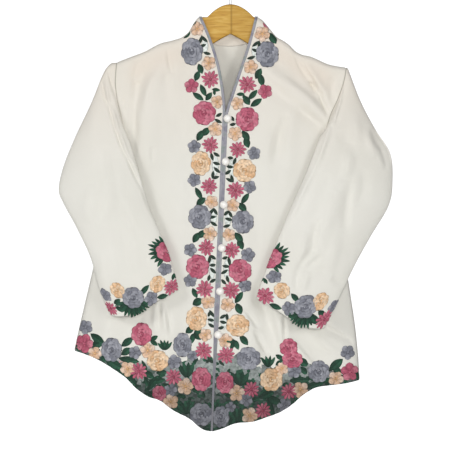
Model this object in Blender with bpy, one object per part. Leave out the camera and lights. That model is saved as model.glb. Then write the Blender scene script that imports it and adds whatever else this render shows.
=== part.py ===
"""Kebaya blouse buttoned up and hung on a wooden hanger.

The blouse hangs from the rail that the hanger's hook goes over. The origin is the top of the hook's
inside, +Z is up, and the front faces -Y. Right and left are the wearer's, so the right side is at -X.
Tables are in millimetres, measured from the origin, with z negative on the way down.
"""

import math

import bmesh
import bpy
import numpy as np

MM = 0.001

# ---------------------------------------------------------------- driving sizes, in millimetres
CLOTH = 1.2  # wall of the cloth
SEAM_GAP = 0.3  # between pieces that are sewn together
SLEEVE_SEAM_GAP = 0.6  # between the nearest edges of a sleeve's walls, on a flat stretch
SEAM_HALF = 0.45  # from a shoulder or side seam to the middle of either wall's edge
SEAM_FADE = 40.0  # a panel's folds die away this far from its side seams
SHOULDER_FADE = 60.0  # and this far below the shoulder line
SHOULDER_ROLL = 9.0  # radius of the cloth's turn over the hanger's arm
SHOULDER_SETTLE = 120.0  # drop over which the cloth swings out from the arm to its full depth
BACK_DEPTH_SHARE = 0.85  # the back hangs a little flatter than the front
NECK_Z = -98.5  # where the neckline crosses the shoulder
BACK_NECK_DROP = 26.0  # how far the back neckline dips below that
FRONT_POINT_Z = -844.0  # lowest point of the two front tips
BACK_HEM_DROOP = 14.0  # the back hem's sag between its corners

BINDING_WIDTH = 5.0
FRONT_WIDTH = 210.0  # a front panel's usual width, which sets its binding's share of it
BINDING_THICK = 1.0
FACING_WIDTH = 18.0  # down from the back neckline
FACING_ROWS = 6  # rows of the back's grid that it covers
NECK_BINDING_ROWS = 4
NECK_STRIP_INSET = 4.0  # of the facing's and the binding's ends, from the neck's points

BUTTON_COUNT = 6
BUTTON_DIAMETER = 14.6
BUTTON_HEIGHT = 8.4
BUTTON_FIRST_Z = -281.5
BUTTON_SPACING = 77.4
BUTTON_FROM_EDGE = 4.3  # centre, from the line where the fronts meet, on the left front

HANGER_THICK = 12.0
HANGER_EDGE_ROUND = 4.5  # height of the rounding along the wood's top and bottom edges
HANGER_CROWN_Z = -75.0
HANGER_UNDER_CLOTH = 1.6  # the wood's top edge, square to the slope, below the middle of the wall
HANGER_END_RIGHT_X = -196.0
HANGER_END_LEFT_X = 199.0
HOOK_WIRE = 3.6
HOOK_INSIDE_RADIUS = 18.0
HOOK_STEM_IN_WOOD = 16.0

# ---------------------------------------------------------------- tables
# The body's level sections. half_width reaches from the front opening to each side seam.
BODY_COLUMNS = ("z", "half_width_right", "half_width_left", "half_depth")
BODY_SECTIONS = (
    (-850, 268, 268, 45),
    (-750, 262, 261.5, 43),
    (-700, 253.5, 256, 41),
    (-650, 244.5, 248.5, 39),
    (-608, 236.5, 240.5, 37),
    (-550, 225.5, 229.5, 35),
    (-488, 215, 222, 33),
    (-389, 217, 226, 32),
    (-308, 220, 226, 29),
    (-193, 221, 226, 21),
    (-98, 221, 226, 18),
)

# The line where the fronts meet: it leans towards the wearer's right on the way down.
OPENING_TOP_Z, OPENING_TOP_X = -272.0, -9.2
OPENING_LEAN = 0.0431

NECKLINE_COLUMNS = ("z", "right_x", "left_x")
NECKLINE = (
    (-272, -9.4, -9.0),
    (-258, -9.8, -5.0),
    (-243, -11.2, 0.2),
    (-218, -14.4, 8.4),
    (-187, -20.2, 18.6),
    (-156, -29.0, 29.0),
    (-125, -40.5, 37.8),
    (-98.5, -52.0, 44.5),
)

SHOULDER_COLUMNS = ("x", "z")
SHOULDER_RIGHT = (
    (-204.5, -184.0),
    (-180, -173.0),
    (-156, -162.5),
    (-125, -146.0),
    (-103, -140.5),
    (-84, -133.0),
    (-74, -124.0),
    (-66, -110.0),
    (-60, -102.0),
    (-52, NECK_Z),
)
SHOULDER_LEFT = (
    (44.5, NECK_Z),
    (58, -108.0),
    (69, -118.5),
    (84, -135.5),
    (94, -141.0),
    (105, -149.0),
    (116, -160.0),
    (127, -166.0),
    (142, -169.5),
    (178, -184.5),
    (208, -190.0),
)

ARMHOLE_COLUMNS = ("z", "right_x", "left_x")
UNDERARM_Z = -389.0
ARMHOLE = (
    (-389, -226.5, 213.5),
    (-372, -211.0, 195.5),
    (-345, -198.0, 179.5),
    (-310, -191.5, 172.5),
    (-280, -196.0, 177.0),
    (-245, -204.0, 193.0),
    (-215, -206.5, 203.0),
    (-184, -204.5, 208.5),
)

# The front hem from the point to the side corner: how far it leaves the straight line.
HEM_COLUMNS = ("share", "right_dz", "left_dz")
HEM_CURVE = (
    (0.0, 0.0, 0.0),
    (0.06, -4.0, -1.0),
    (0.16, -1.0, -1.5),
    (0.28, -2.5, -7.0),
    (0.37, -0.5, -9.0),
    (0.46, -3.5, -6.5),
    (0.54, -3.5, -2.0),
    (0.62, 4.0, 9.0),
    (0.7, 8.0, 14.0),
    (0.8, 9.0, 8.5),
    (0.9, 6.0, 2.0),
    (1.0, 0.0, 0.0),
)
HEM_CORNER_RIGHT_Z = -697.0
HEM_CORNER_LEFT_Z = -750.0

# Soft folds of a panel: ridges (positive) and troughs (negative) between two points.
FOLD_COLUMNS = ("x0", "z0", "x1", "z1", "half_width", "height")
FRONT_FOLDS = (
    (-100, -165, -150, -330, 26, 5.0),
    (-112, -160, -125, -300, 16, -3.0),
    (-60, -150, -95, -330, 24, -3.5),
    (-150, -185, -186, -300, 14, -3.5),
    (95, -170, 160, -300, 20, 5.5),
    (75, -170, 140, -310, 16, -4.0),
    (140, -200, 172, -300, 14, -4.0),
    (-120, -620, -112, -860, 22, 5.5),
    (-150, -640, -160, -820, 20, -4.5),
    (-215, -600, -236, -780, 26, 5.0),
    (-75, -640, -70, -880, 20, -4.0),
    (24, -600, 66, -860, 18, 6.0),
    (50, -600, 88, -760, 16, -5.0),
    (84, -600, 106, -840, 16, 4.5),
    (120, -650, 178, -740, 18, -4.5),
    (165, -640, 222, -690, 18, 4.5),
)
BACK_FOLDS = (
    (-70, -170, -150, -330, 28, 5.0),
    (75, -175, 150, -330, 28, 5.0),
    (-20, -190, -30, -380, 34, -4.0),
    (-150, -520, -200, -800, 30, 4.5),
    (-95, -560, -112, -820, 26, -3.5),
    (-40, -440, -45, -840, 30, 4.0),
    (20, -580, 25, -840, 24, -3.0),
    (80, -460, 108, -840, 30, 5.0),
    (145, -600, 184, -840, 26, -4.0),
)

# Sleeve sections, from the armhole to the cuff. Each joins its outer edge to its inner fold. The
# front wall bulges by front. The back wall passes a point a third of the way from fold to outer
# edge, moved to the side by out, down by drop and back by back: the underarm near the armhole,
# and only the sleeve's thickness further down. Beyond that point it bulges by behind.
SLEEVE_COLUMNS = (
    "outer_x", "outer_z", "outer_y", "fold_x", "fold_z", "fold_y",
    "front", "out", "drop", "back", "behind",
)
SLEEVE_RIGHT = (
    (-205, -184, 0, -193, -300, -16, 6, 36, 126, 2, 14),
    (-230, -207, -2, -187, -305, -27, 10, 36, 116, -1, 14),
    (-254.5, -261, -4, -180, -322, -33, 13, 34, 93, 1, 12),
    (-280.5, -317, -6, -172, -350, -37, 15, 32, 66, 3, 9),
    (-300.5, -368, -9, -163, -379, -39, 17, 27, 37, 5, 5),
    (-308.5, -408, -12, -154, -412, -42, 18, 13, 15, 8, 2),
    (-300, -433, -16, -145.5, -440, -44, 18, 2, 4, 9, 0),
    (-275.5, -478, -22, -131, -474, -46, 17, 0, 0, 10, 0),
    (-251, -530, -30, -115.5, -512, -48, 15, 0, 0, 10, 0),
    (-236, -582, -36, -101.5, -552, -50, 13, 0, 0, 9, 0),
    (-215, -633, -41, -93, -588, -51, 12, 0, 0, 9, 0),
)
SLEEVE_LEFT = (
    (209, -190, 0, 174, -300, -17, 6, 33, 124, 2, 14),
    (222, -222, -2, 167, -303, -28, 10, 38, 113, -1, 14),
    (238, -260, -4, 160, -315, -34, 13, 42, 97, 1, 12),
    (262, -303, -6, 150, -341, -38, 15, 35, 73, 3, 9),
    (287, -344, -9, 137.5, -374, -41, 17, 28, 43, 5, 5),
    (291, -392, -12, 126.5, -400, -43, 18, 14, 22, 8, 2),
    (284, -437, -16, 111, -434, -45, 18, 5, 7, 9, 0),
    (251, -493, -22, 90, -484, -47, 17, 0, 0, 10, 0),
    (221, -547, -30, 71.5, -531, -49, 15, 0, 0, 10, 0),
    (195, -602, -37, 56.5, -571, -51, 13, 0, 0, 9, 0),
    (168, -656, -42, 46, -603, -52, 12, 0, 0, 9, 0),
)
SLEEVE_ARMHOLE_SHARE = 0.3  # of the sleeve's length, over which the armhole's loop flattens
SLEEVE_UNDERARM_ANGLE = 240.0  # where the underarm sits round a section, in degrees
SLEEVE_CLEAR = 4.0  # the sleeve's walls stay this far in front of the front panel
SLEEVE_CLEAR_SHARE = 0.05  # of the sleeve's length, over which that clearance opens
SLEEVE_CLEAR_SLOPE = 1.5  # past the panel's edge, the sleeve may fall back by this per mm
SLEEVE_PRESSED_ANGLE = 245.0  # round a section, the points that keep that clearance
STRAIGHT_DROP = 40.0  # an underarm dropped further than this is joined to the fold by a line
CUFF_DROOP = 30.0  # how far the cuff's front wall hangs below its straight hem
CUFF_DROOP_SHARE = 0.3  # of the sleeve's length, from the cuff up, over which it starts

HANGER_COLUMNS = ("from_middle", "under_z")
HANGER_UNDERSIDE = (
    (0, -128.5),
    (18, -138.0),
    (32, -146.5),
    (50, -158.0),
    (80, -174.0),
    (140, -196.0),
    (200, -212.0),
)
HANGER_DOME = 0.0134  # fall of the crown's top, in mm per square mm from its middle

HOOK_PATH = (  # x, z of the wire's middle below its round part
    (0.0, HANGER_CROWN_Z - HOOK_STEM_IN_WOOD),
    (0.0, HANGER_CROWN_Z),
    (0.0, -60.0),
    (0.8, -54.0),
    (3.0, -48.0),
    (6.4, -42.5),
    (10.2, -37.6),
)
HOOK_START_ANGLE, HOOK_END_ANGLE = -48.0, 205.0

# ---------------------------------------------------------------- mesh resolution
FRONT_COLUMNS = 13
BACK_SHOULDER_COLUMNS, BACK_NECK_COLUMNS = 12, 14
SLEEVE_ALONG = 22
SLEEVE_STRETCHES = (("upper", 0, 8), ("elbow", 8, 14), ("cuff", 14, SLEEVE_ALONG))  # first, last row
ROLL_ANGLES = (0, 20, 42, 66, 90)  # rows over the shoulder, in degrees round the roll
UNDERARM_ROW, FOLD_ROW = 12, 9  # rows of a panel that end at the underarm and where a sleeve folds
UNDERARM_SHARE = 0.365  # of a panel's length
FRONT_LOWER_ROWS, BACK_LOWER_ROWS = 16, 10  # below the underarm

# ---------------------------------------------------------------- finishes
FINISHES = {  # name: (red, green, blue, roughness, metallic)
    "white_voile": (0.80, 0.80, 0.77, 0.85, 0.0),
    "lavender_binding": (0.33, 0.32, 0.40, 0.8, 0.0),
    "pearl_white": (0.84, 0.83, 0.79, 0.35, 0.0),
    "golden_beech": (0.66, 0.42, 0.13, 0.45, 0.0),
    "plated_steel": (0.55, 0.55, 0.56, 0.3, 1.0),
}


# ---------------------------------------------------------------- curves through tables
def column(columns, table, name):
    """One named column of a table, as an array."""
    return np.array([row[columns.index(name)] for row in table], float)


def through(x, knots, values):
    """Smooth curve through (knots, values), read at x: a cubic between neighbours, whose slope
    at each knot is the slope of the table there. Past the ends it keeps the end value."""
    order = np.argsort(knots)
    knots, values = knots[order], values[order]
    slopes = np.gradient(values, knots)
    x = np.clip(x, knots[0], knots[-1])
    at = np.clip(np.searchsorted(knots, x) - 1, 0, len(knots) - 2)
    span = knots[at + 1] - knots[at]
    t = (x - knots[at]) / span
    return (
        values[at] * (1 + 2 * t) * (1 - t) ** 2
        + slopes[at] * span * t * (1 - t) ** 2
        + values[at + 1] * t**2 * (3 - 2 * t)
        + slopes[at + 1] * span * t**2 * (t - 1)
    )


def ease(t):
    """0 to 1, level at both ends."""
    t = np.clip(t, 0, 1)
    return t * t * (3 - 2 * t)


def read(x, columns, table, knot, name):
    return through(x, column(columns, table, knot), column(columns, table, name))


# ---------------------------------------------------------------- the body's surfaces
def opening_x(z):
    """The line where the two fronts meet."""
    return OPENING_TOP_X + OPENING_LEAN * (z - OPENING_TOP_Z)


def side_x(z, side):
    """The side seam's line, at -X for side -1 and +X for side 1."""
    name = "half_width_right" if side < 0 else "half_width_left"
    return opening_x(z) + side * read(z, BODY_COLUMNS, BODY_SECTIONS, "z", name)


def shoulder_z(x):
    """Height of the shoulder line, level across the neck."""
    right = read(x, SHOULDER_COLUMNS, SHOULDER_RIGHT, "x", "z")
    left = read(x, SHOULDER_COLUMNS, SHOULDER_LEFT, "x", "z")
    return np.where(x < 0, right, left)


def depth(x, z):
    """How far the cloth stands from the middle plane: it turns over the hanger's arm, then swings
    out to an oval section that closes at the side seams."""
    below = np.maximum(shoulder_z(x) - z, 0)
    roll = np.sqrt(1 - (1 - np.minimum(below / SHOULDER_ROLL, 1)) ** 2)
    reach = np.where(x < opening_x(z), opening_x(z) - side_x(z, -1), side_x(z, 1) - opening_x(z))
    across = np.clip(np.abs(x - opening_x(z)) / reach, 0, 1)
    full = read(z, BODY_COLUMNS, BODY_SECTIONS, "z", "half_depth") * np.sqrt(1 - across**2)
    settled = ease(below / SHOULDER_SETTLE)
    return SHOULDER_ROLL * roll + (full - SHOULDER_ROLL) * settled


def folds(x, z, table):
    """Sum of soft folds: each is a bell across its line, fading at the line's ends."""
    total = np.zeros(np.broadcast(x, z).shape)
    for x0, z0, x1, z1, half_width, height in table:
        along_x, along_z = x1 - x0, z1 - z0
        length = math.hypot(along_x, along_z)
        t = ((x - x0) * along_x + (z - z0) * along_z) / length**2
        off = ((x - x0) * along_z - (z - z0) * along_x) / length
        past = np.maximum(np.maximum(-t, t - 1), 0) * length
        total = total + height * np.exp(-((off / half_width) ** 2) - (past / (2 * half_width)) ** 2)
    return total


def edge_fade(x, z):
    """0 on the side seams and the shoulder line, 1 away from them, so that seams meet."""
    from_side = np.minimum(x - side_x(z, -1), side_x(z, 1) - x)
    return ease(from_side / SEAM_FADE) * ease((shoulder_z(x) - z) / SHOULDER_FADE)


def front_y(x, z):
    return -SEAM_HALF - depth(x, z) - folds(x, z, FRONT_FOLDS) * edge_fade(x, z)


def back_y(x, z):
    below = shoulder_z(x) - z
    share = 1 + (BACK_DEPTH_SHARE - 1) * ease(below / SHOULDER_SETTLE)
    return SEAM_HALF + depth(x, z) * share + folds(x, z, BACK_FOLDS) * edge_fade(x, z)


# ---------------------------------------------------------------- the panels' outlines
def front_edge_x(z, side):
    """A front's inner edge: the neckline down to the opening's top, then the opening."""
    name = "right_x" if side < 0 else "left_x"
    neckline = read(z, NECKLINE_COLUMNS, NECKLINE, "z", name)
    return np.where(z > OPENING_TOP_Z, neckline, opening_x(z) + side * SEAM_GAP / 2)


def outer_edge_x(z, side):
    """A panel's outer edge: the armhole down to the underarm, then the side seam."""
    name = "right_x" if side < 0 else "left_x"
    armhole = read(z, ARMHOLE_COLUMNS, ARMHOLE, "z", name)
    return np.where(z > UNDERARM_Z, armhole, side_x(z, side))


def patch(top, bottom, start, end, across, down):
    """Points of a four-sided patch in the front view, filled between its edges (a Coons patch).
    top and bottom take shares across, start and end take shares down, all giving (x, z)."""
    u, w = np.meshgrid(across, down)
    u, w = u[..., None], w[..., None]
    top_left, top_right = top(np.array([0.0])), top(np.array([1.0]))
    low_left, low_right = bottom(np.array([0.0])), bottom(np.array([1.0]))
    corners = (1 - w) * ((1 - u) * top_left + u * top_right)
    corners = corners + w * ((1 - u) * low_left + u * low_right)
    rows = (1 - w) * top(across)[None] + w * bottom(across)[None]
    sides = (1 - u) * start(down)[:, None] + u * end(down)[:, None]
    return rows + sides - corners


def rows_down(lower_rows):
    """Shares down a panel: close together over the shoulder's roll, even from there to the
    underarm's row, and even again below it."""
    to_underarm = SHOULDER_RIGHT[0][1] - UNDERARM_Z
    roll = SHOULDER_ROLL * (1 - np.cos(np.radians(ROLL_ANGLES)))
    upper = np.linspace(SHOULDER_ROLL, to_underarm, UNDERARM_ROW - len(ROLL_ANGLES) + 1)
    lower = np.linspace(UNDERARM_SHARE, 1, lower_rows + 1)
    above = np.concatenate([roll, upper[1:]]) / to_underarm * UNDERARM_SHARE
    facing = FACING_WIDTH / (HEM_CORNER_RIGHT_Z - NECK_Z + BACK_NECK_DROP) * -1
    return np.sort(np.concatenate([above, [facing], lower[1:]]))


def level_down(w, top_z, corner_z):
    """Heights down a panel's outer edge, with the underarm at its own share."""
    return np.interp(w, (0, UNDERARM_SHARE, 1), (top_z, UNDERARM_Z, corner_z))


def cosine_steps(count):
    """Shares from 0 to 1 that are closest together at both ends."""
    return (1 - np.cos(np.linspace(0, math.pi, count + 1))) / 2


def front_outline(side):
    """The front's four edges, from its inner edge (share 0) to its outer edge (share 1)."""
    tip_x, tip_z = SHOULDER_RIGHT[0] if side < 0 else SHOULDER_LEFT[-1]
    neck_x = front_edge_x(np.array([NECK_Z]), side)[0]
    corner_z = HEM_CORNER_RIGHT_Z if side < 0 else HEM_CORNER_LEFT_Z
    point_x = front_edge_x(np.array([FRONT_POINT_Z]), side)[0]
    corner_x = side_x(np.array([corner_z]), side)[0]
    dz_name = "right_dz" if side < 0 else "left_dz"

    def top(u):
        x = neck_x + (tip_x - neck_x) * u
        return np.stack([x, shoulder_z(x)], -1)

    def bottom(u):
        lift = read(u, HEM_COLUMNS, HEM_CURVE, "share", dz_name)
        x = point_x + (corner_x - point_x) * u
        return np.stack([x, FRONT_POINT_Z + (corner_z - FRONT_POINT_Z) * u + lift], -1)

    def start(w):
        z = NECK_Z + (FRONT_POINT_Z - NECK_Z) * w
        return np.stack([front_edge_x(z, side), z], -1)

    def end(w):
        z = level_down(w, tip_z, corner_z)
        return np.stack([outer_edge_x(z, side), z], -1)

    return top, bottom, start, end


def front_points(side):
    strip = BINDING_WIDTH / FRONT_WIDTH
    across = np.concatenate([[0], strip + (1 - strip) * cosine_steps(FRONT_COLUMNS)])
    xz = patch(*front_outline(side), across, rows_down(FRONT_LOWER_ROWS))
    return np.stack([xz[..., 0], front_y(xz[..., 0], xz[..., 1]), xz[..., 1]], -1)


def back_neck_z(x):
    """The back neckline: a parabola between the two neck points."""
    right, left = NECKLINE[-1][1], NECKLINE[-1][2]
    middle, half = (right + left) / 2, (left - right) / 2
    return NECK_Z - BACK_NECK_DROP * np.clip(1 - ((x - middle) / half) ** 2, 0, 1)


def back_points():
    """One panel from the right side seam to the left, dipping at the neck."""
    (right_x, right_z), (left_x, left_z) = SHOULDER_RIGHT[0], SHOULDER_LEFT[-1]
    low_right = side_x(np.array([HEM_CORNER_RIGHT_Z]), -1)[0]
    low_left = side_x(np.array([HEM_CORNER_LEFT_Z]), 1)[0]
    middle_x = (NECKLINE[-1][1] + NECKLINE[-1][2]) / 2

    def top(u):
        swing = 2 * u - 1
        x = middle_x + np.where(swing < 0, middle_x - right_x, left_x - middle_x) * swing
        return np.stack([x, np.minimum(shoulder_z(x), back_neck_z(x))], -1)

    def bottom(u):
        droop = BACK_HEM_DROOP * np.sin(math.pi * u)
        z = HEM_CORNER_RIGHT_Z + (HEM_CORNER_LEFT_Z - HEM_CORNER_RIGHT_Z) * u - droop
        return np.stack([low_right + (low_left - low_right) * u, z], -1)

    def start(w):
        z = level_down(w, right_z, HEM_CORNER_RIGHT_Z)
        return np.stack([outer_edge_x(z, -1), z], -1)

    def end(w):
        z = level_down(w, left_z, HEM_CORNER_LEFT_Z)
        return np.stack([outer_edge_x(z, 1), z], -1)

    neck_start = (NECKLINE[-1][1] - right_x) / (middle_x - right_x) / 2
    neck_end = 1 - (left_x - NECKLINE[-1][2]) / (left_x - middle_x) / 2
    outer = cosine_steps(BACK_SHOULDER_COLUMNS)
    inner = cosine_steps(BACK_NECK_COLUMNS)
    across = np.concatenate([
        neck_start * outer,
        neck_start + (neck_end - neck_start) * inner[1:-1],
        neck_end + (1 - neck_end) * outer,
    ])
    xz = patch(top, bottom, start, end, across, rows_down(BACK_LOWER_ROWS))
    return np.stack([xz[..., 0], back_y(xz[..., 0], xz[..., 1]), xz[..., 1]], -1)


# ---------------------------------------------------------------- the sleeves
def armhole_loop(front, back, side):
    """The sleeve's first ring, just outside the panels' own armhole edges, and each point's angle:
    0 is the shoulder's tip, 180 the fold, SLEEVE_UNDERARM_ANGLE the underarm, 360 the tip again."""
    down = front[:UNDERARM_ROW + 1, -1]
    up = back[UNDERARM_ROW:0:-1, 0 if side < 0 else -1]
    tip_z, fold_z, under = down[0, 2], down[FOLD_ROW, 2], SLEEVE_UNDERARM_ANGLE
    shut = np.clip((tip_z - down[:, 2]) / (tip_z - fold_z), 0, 1)
    below = np.clip((fold_z - down[:, 2]) / (fold_z - UNDERARM_Z), 0, 1)
    front_angle = np.degrees(np.arccos(1 - 2 * shut)) + (under - 180) * below
    rise = np.clip((up[:, 2] - UNDERARM_Z) / (tip_z - UNDERARM_Z), 0, 1)
    back_angle = under + (360 - under) * np.arccos(1 - 2 * rise) / math.pi
    loop = np.concatenate([down, up[1:]])
    angle = np.concatenate([front_angle, back_angle[1:]])
    loop[:, 0] += side * (2 * SEAM_GAP + CLOTH / 2)
    loop[0, 1] = 0
    return loop, angle


def flat_sections(share, angle, table):
    """The sleeve's sections as it lies on the front: a bulged front wall from the outer edge to
    the fold, then a back wall that returns along a parabola through the underarm's point."""
    row = {n: through(share, np.linspace(0, 1, len(table)), column(SLEEVE_COLUMNS, table, n))
           for n in SLEEVE_COLUMNS}
    outer = np.stack([row["outer_x"], row["outer_y"], row["outer_z"]], -1)
    fold = np.stack([row["fold_x"], row["fold_y"], row["fold_z"]], -1)
    outward = np.sign(outer[..., :1])
    shift = np.stack([row["out"] * outward[..., 0], row["back"], -row["drop"]], -1)
    under = fold + (outer - fold) / 3 + shift
    bulge = np.sin(np.radians(np.minimum(angle, 180)))[..., None]
    along = (1 - np.cos(np.radians(np.minimum(angle, 180))))[..., None] / 2
    near_cuff = ease(1 - (1 - share) / CUFF_DROOP_SHARE)
    droop = CUFF_DROOP * near_cuff * (1 - along[..., 0])
    out = np.stack([0 * droop, -row["front"] + 0 * droop, -droop], -1)
    front_wall = outer + (fold - outer) * along + out * bulge
    t = np.clip((angle - 180) / 180, 0, 1)[..., None]
    middle = (9 * under - 4 * fold - outer) / 4
    back_wall = fold * (1 - t) ** 2 + middle * 2 * t * (1 - t) + outer * t**2
    straight = np.clip(row["drop"] / STRAIGHT_DROP, 0, 1)[..., None] * (t < 1 / 3)
    back_wall = back_wall + (fold + (under - fold) * 3 * t - back_wall) * straight
    past_under = np.sin(math.pi * np.clip(1.5 * t[..., 0] - 0.5, 0, 1)) ** 2
    back_wall[..., 1] += row["behind"] * past_under
    return np.where(angle[..., None] <= 180, front_wall, back_wall)


def sleeve_points(front, back, side):
    """The sleeve's wall: the armhole's loop easing into flat sections that lie on the front."""
    table = SLEEVE_RIGHT if side < 0 else SLEEVE_LEFT
    loop, angle = armhole_loop(front, back, side)
    share = np.linspace(0, 1, SLEEVE_ALONG + 1)[:, None]
    flat = flat_sections(share, angle[None], table)
    left = 1 - np.minimum(share / SLEEVE_ARMHOLE_SHARE, 1)[..., None]
    blend = 1 - left**2
    points = loop[None] * (1 - blend) + flat * blend
    x, y, z = points[..., 0], points[..., 1], points[..., 2]
    outside = np.maximum(side * (x - outer_edge_x(z, side)), 0)
    clear = SLEEVE_CLEAR * ease(share / SLEEVE_CLEAR_SHARE)
    limit = front_y(x, z) - clear + SLEEVE_CLEAR_SLOPE * outside
    pressed = (share > 0) & (angle < SLEEVE_PRESSED_ANGLE)
    points[..., 1] = np.where(pressed, np.minimum(y, limit), y)
    return points


def parted(corner, one, other):
    """Edges of two walls that meet along a line of corners, each moved toward its own neighbour
    until a seam's gap is left between the inner faces. Square to that line, the distance moved is
    half a wall over the tangent of half the angle between them, and the gap's share."""
    run = np.gradient(corner, axis=0)
    run = run / np.linalg.norm(run, axis=-1, keepdims=True)
    steps = [one - corner, other - corner]
    square = [step - (step * run).sum(-1, keepdims=True) * run for step in steps]
    lengths = [np.linalg.norm(part, axis=-1) for part in square]
    cosine = (square[0] * square[1]).sum(-1) / (lengths[0] * lengths[1])
    half = np.arccos(np.clip(cosine, -1, 1)) / 2
    pull = (CLOTH / 2) / np.tan(half) + (SLEEVE_SEAM_GAP / 2) / np.sin(half)
    return [corner + step * (pull / length)[:, None] for step, length in zip(steps, lengths)]


def sleeve_walls(points):
    """The sleeve's front and back walls, which meet along its outer edge and its inner fold."""
    ring = np.concatenate([points, points[:, :1]], 1)
    front, back = ring[:, :FOLD_ROW + 1].copy(), ring[:, FOLD_ROW:].copy()
    front[:, 0], back[:, -1] = parted(ring[:, 0], ring[:, 1], ring[:, -2])
    fold = FOLD_ROW
    front[:, -1], back[:, 0] = parted(ring[:, fold], ring[:, fold - 1], ring[:, fold + 1])
    return front, back


def stretch(wall, first, last):
    """A sleeve's wall between two of its rows, with half a seam's gap left at each row that
    another stretch starts from."""
    part = wall[first:last + 1].copy()
    for row, inner in ((0, 1), (-1, -2)):
        if (first if row == 0 else SLEEVE_ALONG - last) > 0:
            step = part[inner] - part[row]
            part[row] += step * (SLEEVE_SEAM_GAP / 2) / np.linalg.norm(step, axis=-1, keepdims=True)
    return part


# ---------------------------------------------------------------- building the pieces
def material(name):
    red, green, blue, roughness, metallic = FINISHES[name]
    made = bpy.data.materials.get(name)
    if made is None:
        made = bpy.data.materials.new(name)
        made.use_nodes = True
        shader = made.node_tree.nodes["Principled BSDF"]
        shader.inputs["Base Color"].default_value = (red, green, blue, 1)
        shader.inputs["Roughness"].default_value = roughness
        shader.inputs["Metallic"].default_value = metallic
    return made


def place(name, mesh, finish):
    mesh.materials.append(material(finish))
    mesh.shade_smooth()
    piece = bpy.data.objects.new(name, mesh)
    bpy.context.scene.collection.objects.link(piece)
    return piece


def sheet(name, points, finish, thickness=CLOTH):
    """A grid of points in millimetres, made a sheet and given its wall by Solidify."""
    rows, columns = points.shape[:2]
    mesh = bpy.data.meshes.new(name)
    index = np.arange(rows * columns).reshape(rows, columns)
    quads = np.stack([index[:-1, :-1], index[:-1, 1:], index[1:, 1:], index[1:, :-1]], -1)
    mesh.from_pydata((points.reshape(-1, 3) * MM).tolist(), [], quads.reshape(-1, 4).tolist())
    piece = place(name, mesh, finish)
    wall = piece.modifiers.new("wall", "SOLIDIFY")
    wall.thickness = thickness * MM
    wall.offset = 0
    return piece


def lifted(points, lift, toward):
    """A grid of points moved out along its own normals, on the side that toward (+1 or -1 in y)
    names, so that what lies on a panel follows it facet by facet."""
    across = np.gradient(points, axis=1)
    down = np.gradient(points, axis=0)
    normal = np.cross(across, down)
    normal = normal / np.linalg.norm(normal, axis=-1, keepdims=True)
    normal = normal * np.sign(normal[..., 1:2]) * toward
    return points + normal * lift


def neck_columns(points):
    """The columns of the back's grid that end on the neckline, a little inside its two points."""
    x = points[0, :, 0]
    right, left = NECKLINE[-1][1], NECKLINE[-1][2]
    return (x > right + NECK_STRIP_INSET) & (x < left - NECK_STRIP_INSET)


def button(index):
    """A round domed button sewn beside the opening on the left front, its flat back to the cloth."""
    z = BUTTON_FIRST_Z - index * BUTTON_SPACING
    x = float(opening_x(z)) + BUTTON_FROM_EDGE
    surface = float(front_y(np.array([x]), np.array([z]))[0])
    back = surface - CLOTH / 2 - SEAM_GAP - BINDING_THICK - SEAM_GAP
    radius = BUTTON_DIAMETER / 2
    profile = [(0, 0), (radius * 0.55, 0), (radius * 0.92, 0.24 * BUTTON_HEIGHT)]
    for turn in np.radians(np.linspace(0, 90, 6)):
        dome = 0.62 * BUTTON_HEIGHT
        profile.append((radius * math.cos(turn), BUTTON_HEIGHT - dome * (1 - math.sin(turn))))
    work = bmesh.new()
    ends = [work.verts.new((r * MM, -h * MM, 0)) for r, h in profile]
    edges = [work.edges.new(pair) for pair in zip(ends, ends[1:])]
    bmesh.ops.spin(
        work, geom=ends + edges, cent=(0, 0, 0), axis=(0, 1, 0), angle=2 * math.pi, steps=14,
    )
    bmesh.ops.remove_doubles(work, verts=work.verts, dist=1e-6)
    bmesh.ops.recalc_face_normals(work, faces=work.faces)
    mesh = bpy.data.meshes.new(f"button_{index + 1}")
    work.to_mesh(mesh)
    work.free()
    piece = place(f"button_{index + 1}", mesh, "pearl_white")
    piece.location = (x * MM, back * MM, z * MM)


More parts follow.
